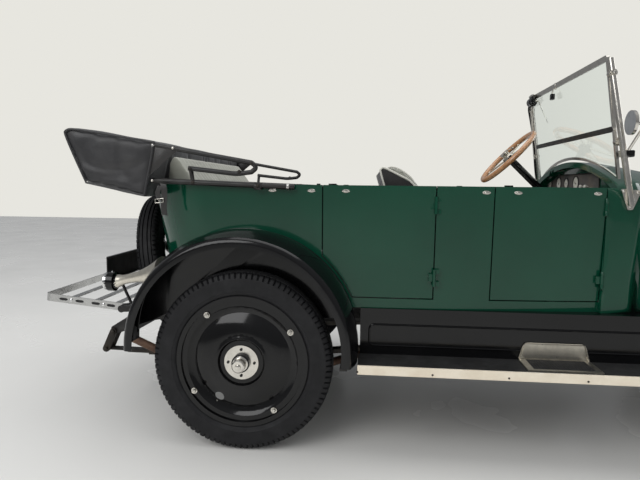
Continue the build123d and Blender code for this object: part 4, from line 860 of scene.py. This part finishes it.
# Instruments on the dash, with the pale knobs beside them: dials are a place in Y and a radius
dash = {"x": 1599.8, "z": 1152, "dials": ((420, 30), (275, 36), (160, 30), (25, 38)), "front": 1.6,
        "beading": 3, "marks": 12, "needleTurn": 40, "knobs": (-76, -133), "knobHeight": 1136,
        "plate": [(-240, 1088), (440, 1088), (462, 1105), (462, 1178), (440, 1200), (-240, 1200),
                  (-262, 1178), (-262, 1105)]}
metal = [tube([(dash["x"] - 2, y, z) for y, z in dash["plate"]], dash["beading"], smooth=False, closed=True)]
faces = []


def onDial(place, height, turn):
    return place @ Matrix.Translation((0, 0, height / 1000)) @ Matrix.Rotation(radians(turn), 4, "Z")


for y, radius in dash["dials"]:
    place = facing((dash["x"] - dash["front"], y, dash["z"]), (-1, 0, 0))
    bezel = [(radius - 4, 1), (radius - 3, 3.6), (radius, 4.4), (radius + 3, 3), (radius + 4, 0)]
    metal.append(turned(bezel, 40, place))
    faces.append(turned([(0, 1.4), (radius - 3, 1.4), (radius - 3, 0.3)], 40, place))
    for i in range(dash["marks"]):
        mark = [(-0.9, radius - 12), (0.9, radius - 12), (0.9, radius - 7), (-0.9, radius - 7)]
        faces.append(paintAs(slab(mark, 0.5, onDial(place, 1.3, 360 / dash["marks"] * i), 0), 1))
    needle = [(-1.6, -8), (1.6, -8), (0.5, radius - 14), (-0.5, radius - 14)]
    faces.append(paintAs(slab(needle, 0.7, onDial(place, 2.4, dash["needleTurn"] + y), 0.2), 1))
    faces.append(paintAs(turned([(0, 3.6), (3, 3.2), (3.5, 1.2)], 14, place), 1))
finishMesh("dashBezels", metal, "chassis")
finishMesh("dashDials", faces, ["dial", "black"])
finishMesh("dashPlate", slab(dash["plate"], 1.5, lengthways(dash["x"] - dash["front"]), 0.4), "iron")
knobs = [turned([(0, 22), (7, 21), (9.5, 17), (9, 12), (4, 8), (3.4, 0)], 20,
                facing((dash["x"] - 1, y, dash["knobHeight"]), (-1, 0, 0))) for y in dash["knobs"]]
finishMesh("dashKnobs", knobs, "piping")
print("steering and dash made")

# Windshield: acorn nuts, rivets, wiper with its motor and pipe, and the clip of the inner mirror. Its places
# are Y, Z and how far ahead of the leaning glass
screen = {"x": 1540, "z": 1377, "lean": 8.6, "hingeHeights": (1322, 1600), "hingeY": (562, 548),
          "rivets": ((1558, 1117), (1590, 1054), (1620, 1112))}
wiper = {"bracket": ((440, 1672, -12), (470, 1684, -12), (520, 1676, -12)), "motor": (452, 1640, -14),
         "box": ((1463, 1486), (420, 470), (1628, 1668)), "shaft": (440, 1642, -10),
         "arm": ((440, 1642, 14), (380, 1585, 12), (318, 1520, 9)), "blade": ((395, 1602, 9), (300, 1500, 9)),
         "pipe": ((510, 1640, -18), (552, 1620, -20), (556, 1560, -14), (560, 1450, -6), (556, 1330, -8),
                  (568, 1250, -14)), "pipeEnd": (1562, 572, 1180)}
innerMirror = {"clip": ((1487, 1503), (94, 112), (1650, 1682)),
               "block": ((1474, 1494), (100, 128), (1596, 1628)),
               "stalk": ((103, 1655, -14), (106, 1636, -20), (112, 1622, -22))}
sideMirror = {"nut": (1600, -640, 1384), "washer": (1596, -645, 1385), "clampNut": (1574, -601, 1270),
              "clamp": ((1556, 1592), (-602, -568), (1256, 1284))}


def onScreen(y, z, ahead=0):
    return screen["x"] - (z - screen["z"]) * tan(radians(screen["lean"])) + ahead, y, z


bright, dark = [], []
for side in (-1, 1):
    nutY, washerY = screen["hingeY"]
    for z in screen["hingeHeights"]:
        bright.append(nut(onScreen(side * nutY, z), (0, side, 0), 11, 8))
        bright.append(turned([(9, 0), (17, 0), (18, 3), (17, 6), (9, 6)], 24,
                             facing(onScreen(side * washerY, z), (0, side, 0)), closed=True))
    for x, z in screen["rivets"]:
        bright.append(rivet(*onSkin("windshield_frame", x, z, side), 6.5, 4))
bright.append(tube([onScreen(*spot) for spot in wiper["bracket"]], 7))
dark.append(turned([(0, 0), (24, 0), (27, 4), (27, 52), (22, 60), (0, 60)], 28,
                   facing(onScreen(*wiper["motor"]), (0, 1, 0))))
dark.append(brick(*wiper["box"], 5))
dark.append(tube([onScreen(*spot) for spot in wiper["pipe"]] + [wiper["pipeEnd"]], 5))
bright.append(turned([(0, 0), (6, 0), (6, 26), (0, 26)], 12, facing(onScreen(*wiper["shaft"]), (1, 0, 0))))
bright.append(tube([onScreen(*spot) for spot in wiper["arm"]], 2.4))
dark.append(band([onScreen(*spot) for spot in wiper["blade"]], (0, 5, 5), 3))
bright.append(brick(*innerMirror["clip"], 2.5))
bright.append(tube([onScreen(*spot) for spot in innerMirror["stalk"]], 4))
dark.append(brick(*innerMirror["block"], 4))
finishMesh("screenFittings", bright, "nickel")
finishMesh("wiperMotor", dark, "black")
clamp = [nut(sideMirror["nut"], (0, -1, 0), 7, 6),
         turned([(0, -4), (9, -4), (10, 0), (9, 5), (0, 5)], 18, facing(sideMirror["washer"], (0, -1, 0))),
         paintAs(brick(*sideMirror["clamp"], 5), 1),
         paintAs(nut(sideMirror["clampNut"], (0, -1, 0), 8, 7), 1)]
finishMesh("mirrorClamp", clamp, ["chrome", "black"])
print("windshield fitted")

# Rear end: plate bolts, rack bolts and slots, spring clips and horn bolts
plate = {"x": -699.6, "nuts": ((-473, 768), (-223, 768)), "rivets": ((-383, 776), (-300, 776))}
plateBolts = [nut((plate["x"], y, z), (-1, 0, 0), 6, 4, 15) for y, z in plate["nuts"]]
plateBolts += [rivet((plate["x"], y, z), (-1, 0, 0), 4.5, 2.5) for y, z in plate["rivets"]]
finishMesh("plateBolts", plateBolts, "nickel")
rack = {"x": -687, "z": 512, "tilt": 5.8, "half": 385, "slots": (70, 150, 235, 320),
        "slotSize": (12, 6.5, 10), "boltAhead": 40}
rackPlace = Matrix.Translation(at(rack["x"], 0, rack["z"])) @ Matrix.Rotation(radians(rack["tilt"]), 4, "Y")


def onRack(side, behind, proud):
    # A place on the rack's side rail that faces outwards
    return rackPlace @ Matrix(((1, 0, 0, -behind / 1000), (0, 0, side, side * (rack["half"] + proud) / 1000),
                               (0, 1, 0, 0), (0, 0, 0, 1)))


fittings = []
for side in (-1, 1):
    for i, behind in enumerate(rack["slots"]):
        long, high, apart = rack["slotSize"]
        hole = [(long * cos(radians(t)) + (apart if -90 < t <= 90 else -apart), high * sin(radians(t)))
                for t in range(-75, 285, 15)]
        fittings.append(paintAs(slab(hole, 0.6, onRack(side, behind, 0.1), 0), 1))
        if i % 2:
            fittings.append(turned([(0, 5), (5, 4.4), (8, 2), (8.5, 0), (0, 0)], 16,
                                   onRack(side, behind - rack["boltAhead"], 0)))
for shape in fittings:
    bmesh.ops.recalc_face_normals(shape, faces=shape.faces)
finishMesh("rackFittings", fittings, ["chrome", "mat"], nodeBody["luggage_rack"])

# Clips round the springs: the rear leaves rise away from their middle
springs = {"rearX": (-400, -150, 150, 420), "rearY": (410, 460), "rearZ": 292, "rise": 0.00012,
           "middle": -50, "clipFrom": -4, "clipTo": 52, "frontX": (2500, 2732), "frontY": (320, 370),
           "frontZ": (350, 392), "half": 9, "rearBolts": ((-708, 408), (-746, 324)), "rearBoltY": 471.5,
           "frontBolt": (3015, 372, 384)}


def clip(x, side, key, heights):
    across = sorted(side * y for y in springs[key])
    return brick((x - springs["half"], x + springs["half"]), across, heights, 2)


springBits = []
for side in (-1, 1):
    for x in springs["rearX"]:
        z = springs["rearZ"] + springs["rise"] * (x - springs["middle"]) ** 2
        springBits.append(clip(x, side, "rearY", (z + springs["clipFrom"], z + springs["clipTo"])))
    for x, z in springs["rearBolts"]:
        springBits.append(nut((x, side * springs["rearBoltY"], z), (0, side, 0), 12, 7))
    for x in springs["frontX"]:
        springBits.append(clip(x, side, "frontY", springs["frontZ"]))
    x, y, z = springs["frontBolt"]
    springBits.append(nut((x, side * y, z), (0, side, 0), 12, 7))
finishMesh("springClips", springBits, "spring")
print("rear end fitted")

# Bonnet and radiator: lid catches, handles and the cap
bonnet = {"catches": ((1925, 672), (2550, 672)), "catchSize": 3.2, "handle": (2240, 960),
          "handleHalf": (50, 46), "handleOut": 24, "handleSize": 4.5}
radiatorCap = {"x": 2683, "z": 1256.5, "gripRadius": 36, "gripZ": 1246}
for side, hand in hands:
    hold = []
    for x, z in bonnet["catches"]:
        spot, out = (Vector(found) for found in onSkin("bonnet_" + hand, x, z, side))
        base = spot + out * 0.5
        hold.append(turned([(0, 9), (7, 8), (9, 4), (9, 0), (0, 0)], 18, facing(base, out)))
        bends = [base + out * reach + Vector((0, 0, dz)) for reach, dz in ((7, 0), (12, -10), (10, 24))]
        hold.append(tube(bends, bonnet["catchSize"]))
    base, out = (Vector(found) for found in onSkin("bonnet_" + hand, *bonnet["handle"], side))
    foot, corner = bonnet["handleHalf"]
    bends = ((-foot, 0), (-corner, bonnet["handleOut"]), (corner, bonnet["handleOut"]), (foot, 0))
    hold.append(tube([base + Vector((dx, 0, 0)) + out * reach for dx, reach in bends], bonnet["handleSize"]))
    for dx in (-foot, foot):
        hold.append(turned([(0, 3), (9, 3), (11, 0), (0, 0)], 18, facing(base + Vector((dx, 0, 0)), out)))
    finishMesh("bonnetCatches" + hand.title(), hold, "nickel", nodeBody["bonnet_" + hand])
cap = [turned([(0, 8), (14, 7), (20, 3), (21, 0), (0, 0)], 32,
              facing((radiatorCap["x"], 0, radiatorCap["z"]), (0, 0, 1)))]
for turn in range(0, 360, 60):
    out = Vector((cos(radians(turn)), sin(radians(turn)), 0))
    spot = Vector((radiatorCap["x"], 0, radiatorCap["gripZ"])) + out * radiatorCap["gripRadius"]
    cap.append(turned([(0, 5), (4, 4), (5, 0), (0, 0)], 10, facing(spot, out)))
finishMesh("radiatorCapTop", cap, "nickel")
print("front fitted")

# Pedals, gear lever with its boot, and hand brake
pedals = {"y": (430, 345, 255), "padX": (1688, 1700), "half": 26, "padZ": (742, 790), "armSize": 7,
          "arm": ((1700, 760), (1740, 735), (1790, 690))}
leverSticks = {"gear": ((1560, 60, 640), (1525, 60, 760), (1440, 70, 905)), "knob": (1437, 70, 915),
               "knobLean": (-0.5, 0, 1), "brake": ((1590, -50, 640), (1575, -50, 760), (1500, -55, 870)),
               "boot": (1560, 60, 622), "size": 8}
steelwork, black = [], []
for y in pedals["y"]:
    black.append(brick(pedals["padX"], (y - pedals["half"], y + pedals["half"]), pedals["padZ"], 4))
    steelwork.append(tube([(x, y, z) for x, z in pedals["arm"]], pedals["armSize"]))
steelwork.append(tube(leverSticks["gear"], leverSticks["size"]))
black.append(turned([(0, 20), (13, 17), (19, 6), (18, -4), (10, -14), (0, -16)], 24,
                    facing(leverSticks["knob"], leverSticks["knobLean"])))
steelwork.append(tube(leverSticks["brake"], leverSticks["size"]))
steelwork.append(turned([(0, 0), (46, 0), (40, 12), (16, 16), (0, 16)], 28,
                        facing(leverSticks["boot"], (0, 0, 1))))
finishMesh("pedalArms", steelwork, "steel")
finishMesh("pedalPads", black, "mat")
print("cabin fitted")

# Draught strips on the body behind the upright gaps of the doors: X of the gap, what carries the strip, the
# way to its middle and its heights
strips = {"offset": 2.7, "width": 22, "thickness": 1.8, "lap": 0.2,
          "gaps": ((325, "body_tub", -14, (850, 940, 1030, 1122)),
                   (799, "body_tub", 14, (660, 815, 970, 1122)),
                   (1037, "body_tub", -14, (660, 815, 970, 1122)),
                   (1494.5, "cowl", 16, (660, 815, 970, 1100)))}
for side, hand in hands:
    made = []
    for x, node, beside, heights in strips["gaps"]:
        skinY = [onSkin(node, x + beside, z, side, "inside")[0][1] for z in heights]
        line = [(x + beside * strips["lap"], y - side * strips["offset"], z) for y, z in zip(skinY, heights)]
        made.append(band(line, (strips["width"], 0, 0), strips["thickness"]))
    finishMesh("draughtStrips" + hand.title(), made, "mat")
print("doors trimmed")

# Soft pieces: a remeshed pad swells under pressure while its seams are held
soft = {"frames": 20, "pressure": 20.0, "slack": -0.08, "smoothing": 0.5}


def swell(pad, held, cap):
    # Cloth under pressure, no point of it further than the cap from where it was
    mesh, scene = pad.data, bpy.context.scene
    rest = [v.co.copy() for v in mesh.vertices]
    pinned = [v.index for v in mesh.vertices if held(*millimetres(v.co), v.normal)]
    pad.vertex_groups.new(name="held").add(pinned, 1.0, "REPLACE")
    cloth = pad.modifiers.new("cloth", "CLOTH")
    cloth.settings.use_pressure = True
    cloth.settings.uniform_pressure_force = soft["pressure"]
    cloth.settings.vertex_group_mass = "held"
    cloth.settings.shrink_min = soft["slack"]
    cloth.settings.effector_weights.gravity = 0
    cloth.point_cache.frame_start = 1
    cloth.point_cache.frame_end = soft["frames"]
    for frameNumber in range(1, soft["frames"] + 1):
        scene.frame_set(frameNumber)
    swollen = bpy.data.meshes.new_from_object(pad.evaluated_get(bpy.context.evaluated_depsgraph_get()))
    moves = [v.co - start for v, start in zip(swollen.vertices, rest)]
    pad.modifiers.clear()
    pad.vertex_groups.clear()
    for vert, start, move in zip(mesh.vertices, rest, moves):
        vert.co = start + move * min(1.0, cap / 1000 / max(move.length, 0.000001))
    bpy.data.meshes.remove(swollen)
    scene.frame_set(1)


def inflatedPad(name, shape, held, look, paint):
    pad = bpy.data.objects.new(name, bpy.data.meshes.new(name))
    shape.to_mesh(pad.data)
    shape.free()
    bpy.context.scene.collection.objects.link(pad)
    remesh = pad.modifiers.new("remesh", "REMESH")
    remesh.mode = "VOXEL"
    remesh.voxel_size = look["voxel"] / 1000
    bpy.context.view_layer.update()
    mesh = bpy.data.meshes.new_from_object(pad.evaluated_get(bpy.context.evaluated_depsgraph_get()))
    pad.modifiers.clear()
    pad.data = mesh
    for vert, step in zip(mesh.vertices, [v.normal * look["shrink"] / 1000 for v in mesh.vertices]):
        vert.co -= step
    swell(pad, held, look["cap"])
    smoother = bmesh.new()
    smoother.from_mesh(mesh)
    bmesh.ops.smooth_vert(smoother, verts=smoother.verts, factor=soft["smoothing"], use_axis_x=True,
                          use_axis_y=True, use_axis_z=True)
    smoother.to_mesh(mesh)
    smoother.free()
    mesh.materials.clear()
    mesh.materials.append(paints[paint])
    mesh.shade_smooth()
    rounder = pad.modifiers.new("rounder", "SUBSURF")
    rounder.levels = rounder.render_levels = 1
    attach(pad, "root")
    return pad


# Seats: seams every pleat, narrower on the upright back than on the cushion
seats = {"voxel": 11.5, "shrink": 7, "cap": 13, "fill": 0.7, "cushionBelow": 900, "cushionPleat": 62,
         "backPleat": 50, "seam": 5.8, "endFrom": 545}


def seatHeld(backWay):
    def held(x, y, z, normal):
        pleat = seats["cushionPleat"] if z < seats["cushionBelow"] else seats["backPleat"]
        seam = abs((y + pleat / 2) % pleat - pleat / 2) < seats["seam"]
        return seam or normal.z < -0.5 or normal.x < backWay or abs(y) > seats["endFrom"]
    return held


for node, name, backWay in (("rear_seat", "rearSeatPads", -0.6), ("front_seat", "frontSeatPads", -0.75)):
    pad = inflatedPad(name, mergedNode(node), seatHeld(backWay), seats, "stone")
    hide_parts(node)
print("seats sewn")

# Piping round the front seat's wings and the seams of its back: Y and size, then places in X and Z
piping = ((575, 4.5, ((600, 1085), (563, 1192), (570, 1203), (581, 1209), (640, 1179), (709, 1145),
                      (740, 1078), (800, 915))),
          (557, 4, ((590, 1196), (604, 1217), (664, 1196), (726, 1141), (806, 926))))
welts = [tube([(x, side * y, z) for x, z in edge], size) for side in (-1, 1) for y, size, edge in piping]
finishMesh("seatPiping", welts, "piping", "root")

# Folded top in its cover, whose folds are a middle in X and Z, a radius each way and a depth
topFold = {"half": 696, "voxel": 13, "shrink": 0, "cap": 9, "fill": 0.4, "seams": (0, 520), "seam": 9,
           "hem": (-434, 1120, 0.2, 12, 640), "endFrom": 660, "foldWidth": 3.2,
           "folds": ((-560, 1260, 150, 75, 7.0), (-600, 1215, 210, 60, 5.0), (-470, 1240, 70, 110, 5.5)),
           "waves": (0.004, (90, 260, 70), 0), "ripples": (0.003, (120, 180, 90), 7)}
cover = [(-783, 1339), (-768, 1352), (-744, 1357), (-560, 1329), (-388, 1300), (-383, 1290), (-410, 1165),
         (-430, 1105), (-434, 1076), (-560, 1103), (-690, 1134), (-704, 1150)]


def foldedCover():
    shape = slab(cover, 2 * topFold["half"], sideways(topFold["half"]), 0)
    bmesh.ops.subdivide_edges(shape, edges=shape.edges[:], cuts=1)
    return shape


def coverHeld(x, y, z, normal):
    hemX, hemZ, slope, width, half = topFold["hem"]
    hem = abs(y) < half and abs(z - (hemZ - (x - hemX) * slope)) < width
    return hem or any(abs(abs(y) - seam) < topFold["seam"] for seam in topFold["seams"])


def wave(x, y, z, key):
    height, (longX, longY, longZ), shift = topFold[key]
    return height * noise.noise(Vector((x / longX, y / longY, z / longZ + shift)))


bag = inflatedPad("foldedTop", foldedCover(), coverHeld, topFold, "hood")
for vert in bag.data.vertices:
    x, y, z = millimetres(vert.co)
    if abs(y) > topFold["endFrom"]:
        # Soft slack folds in the end panels
        for cx, cz, rx, rz, depth in topFold["folds"]:
            radius = hypot((x - cx) / rx, (z - cz) / rz)
            fading = max(0.0, min(1.0, (cz + 0.6 * rz - z) / rz + 0.4))
            ridge = max(0.0, 1 - abs(radius - 1) * topFold["foldWidth"]) * fading
            vert.co.y -= (1 if y > 0 else -1) * depth / 1000 * ridge
    else:
        vert.co.z += wave(x, y, z, "waves")
        vert.co.x += wave(x, y, z, "ripples")
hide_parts("top_bag")

# The top's piping, the flap over its irons and its hanging straps, all beside its ends: X, how far out and Z
topEdge = {"y": 701, "pipe": 5, "hemPipe": 4,
           "rim": ((-690, 0, 1134), (-783, 0, 1337), (-770, 0, 1352), (-744, 0, 1358), (-560, 0, 1330),
                   (-385, 0, 1302)),
           "front": ((-385, 0, 1302), (-398, 1.5, 1230), (-414, 0, 1160), (-432, 0, 1078)),
           "hem": ((-692, 0, 1130), (-560, 0, 1104), (-432, 0, 1078))}
topStrap = {"flap": [(-396, 1300), (-340, 1291), (-300, 1288), (-281, 1279), (-286, 1266), (-318, 1240),
                     (-372, 1192), (-412, 1160)], "flapFrom": {-1: -7, 1: 2},
            "long": ((-352, 695, 1128), (-345, 700, 1104), (-350, 688, 1060), (-356, 682, 1030),
                     (-352, 684, 994)),
            "short": ((-366, 693, 1120), (-376, 697, 1090), (-372, 690, 1058)),
            "buckle": ((-388, 1046), (-352, 1050), (-352, 1066), (-388, 1062)), "buckleY": 693,
            "tongue": ((-370, 694, 1048), (-370, 695, 1066)), "studs": ((-303, 1277), (-395, 1141)),
            "studY": 705.5}
seams, flaps, buckles = [], [], []
for side in (-1, 1):
    for key, size in (("rim", "pipe"), ("front", "pipe"), ("hem", "hemPipe")):
        seams.append(tube([(x, side * (topEdge["y"] + out), z) for x, out, z in topEdge[key]], topEdge[size]))
    flaps.append(slab(topStrap["flap"], 5, sideways(side * topEdge["y"] - topStrap["flapFrom"][side]), 1.6))
    for key, across in (("long", (26, 0, -3)), ("short", (22, 0, -2))):
        flaps.append(band([(x, side * y, z) for x, y, z in topStrap[key]], across, 3))
    ring = [(x, side * topStrap["buckleY"], z) for x, z in topStrap["buckle"]]
    buckles.append(tube(ring, 2.2, smooth=False, closed=True))
    buckles.append(tube([(x, side * y, z) for x, y, z in topStrap["tongue"]], 1.8, smooth=False))
    for x, z in topStrap["studs"]:
        buckles.append(rivet((x, side * topStrap["studY"], z), (0, side, 0), 6, 3))
finishMesh("topPiping", seams, "hood", "root")
finishMesh("topStraps", flaps, "leather", "root")
finishMesh("topBuckles", buckles, "nickel")

# Rivets of the top irons: X, Y, Z and which paint, then the ferrule on the longest bow
ironRivets = ((-390, 702, 1289, 0), (30, 702, 1216, 1), (-20, 702, 1181, 1), (-230, 702, 1192, 1),
              (-227, 679, 1136, 1), (53, 681, 1123, 1))
ferrule = {"place": (180, 667, 1121), "way": (1, 0, -0.04)}
joints = []
for side in (-1, 1):
    for x, y, z, paint in ironRivets:
        joints.append(paintAs(rivet((x, side * y, z), (0, side, 0), 8, 5, 16), paint))
    x, y, z = ferrule["place"]
    joints.append(turned([(12.2, -6), (14.5, -5), (14.5, 5), (12.2, 6)], 24,
                         facing((x, side * y, z), ferrule["way"]), closed=True))
finishMesh("topIronRivets", joints, ["steel", "spring"], "root")
print("top folded")

# Room, light and camera
studio = {"floorHalf": 14000, "floorColour": (0.70, 0.69, 0.66), "floorGloss": (0.2, 0.32),
          "wallColour": (0.80, 0.79, 0.74), "skyColour": (0.95, 0.97, 1.0), "skyStrength": 0.95,
          "glossyLoss": 0.62, "horizonShare": 0.62}


def buildFloor():
    shape = bmesh.new()
    bmesh.ops.create_grid(shape, x_segments=2, y_segments=2, size=studio["floorHalf"] / 1000)
    mesh = bpy.data.meshes.new("floor")
    shape.to_mesh(mesh)
    shape.free()
    floor = bpy.data.objects.new("floor", mesh)
    bpy.context.scene.collection.objects.link(floor)
    paint = Paint("paleFloor", studio["floorColour"])
    paint.gloss(paint.noise(1.5), 0.3, 0.8, *studio["floorGloss"])
    floor.data.materials.append(paint.material)


def buildSky():
    # The camera and clear glass see a pale wall, and polished parts a dimmer room
    world = bpy.data.worlds.new("softSky")
    bpy.context.scene.world = world
    world.use_nodes = True
    room = Nodes(world.node_tree)
    cameraRay, glassRay, glossyRay = (room.node("LightPath", out="Is " + kind + " Ray")
                                      for kind in ("Camera", "Transmission", "Glossy"))
    height = room.node("SeparateXYZ", {}, {0: room.node("TexCoord", out="Generated")}, out="Z")
    dusk, noon = (tuple(c * share for c in studio["skyColour"]) for share in (studio["horizonShare"], 1.0))
    sky = room.node("Background", {}, {"Color": room.ramp(height, (0, dusk), (0.75, noon)),
                                       "Strength": studio["skyStrength"] - glossyRay * studio["glossyLoss"]})
    wall = room.node("Background", {}, {"Color": (*studio["wallColour"], 1), "Strength": 1.0})
    seen = room.node("MixShader", {}, {0: cameraRay + glassRay, 1: sky, 2: wall})
    room.feed(world.node_tree.nodes["World Output"].inputs["Surface"], seen)


# Lamps: place and aim in millimetres, size in metres and power in watts
lamps = {"keyLamp": ((-2600, -5200, 4600), (300, 0, 700), 4.0, 170),
         "topLamp": ((900, 200, 6000), (900, 0, 600), 5.0, 110),
         "frontLamp": ((7000, 2200, 3400), (1500, 0, 700), 3.0, 60)}


def buildLamps():
    for name, (spot, aim, size, power) in lamps.items():
        lamp = bpy.data.lights.new(name, "AREA")
        lamp.shape = "SQUARE"
        lamp.size = size
        lamp.energy = power
        holder = bpy.data.objects.new(name, lamp)
        bpy.context.scene.collection.objects.link(holder)
        holder.location = at(*spot)
        holder.rotation_euler = (at(*aim) - at(*spot)).to_track_quat("-Z", "Y").to_euler()


camera = {"focal": 530, "imageWidth": 640, "sensor": 36.0, "yaw": 5.3, "pitch": 5.8, "roll": 0.6,
          "place": (523.2, -2884.2, 1124.7)}


def buildCamera():
    yaw, pitch, roll = (radians(camera[key]) for key in ("yaw", "pitch", "roll"))
    forward = Vector((-sin(yaw) * cos(pitch), cos(yaw) * cos(pitch), -sin(pitch)))
    right = Vector((cos(yaw), sin(yaw), 0))
    down = forward.cross(right)
    right, down = cos(roll) * right - sin(roll) * down, sin(roll) * right + cos(roll) * down
    lens = bpy.data.cameras.new("camera")
    lens.sensor_width = camera["sensor"]
    lens.lens = camera["focal"] / camera["imageWidth"] * camera["sensor"]
    lens.clip_end = 100
    holder = bpy.data.objects.new("camera", lens)
    bpy.context.scene.collection.objects.link(holder)
    turn = Matrix((right, -down, -forward)).transposed()
    holder.matrix_world = Matrix.Translation(at(*camera["place"])) @ turn.to_4x4()
    bpy.context.scene.camera = holder


buildFloor()
buildSky()
buildLamps()
buildCamera()
bpy.context.scene.view_settings.view_transform = "Standard"
print("stage set")
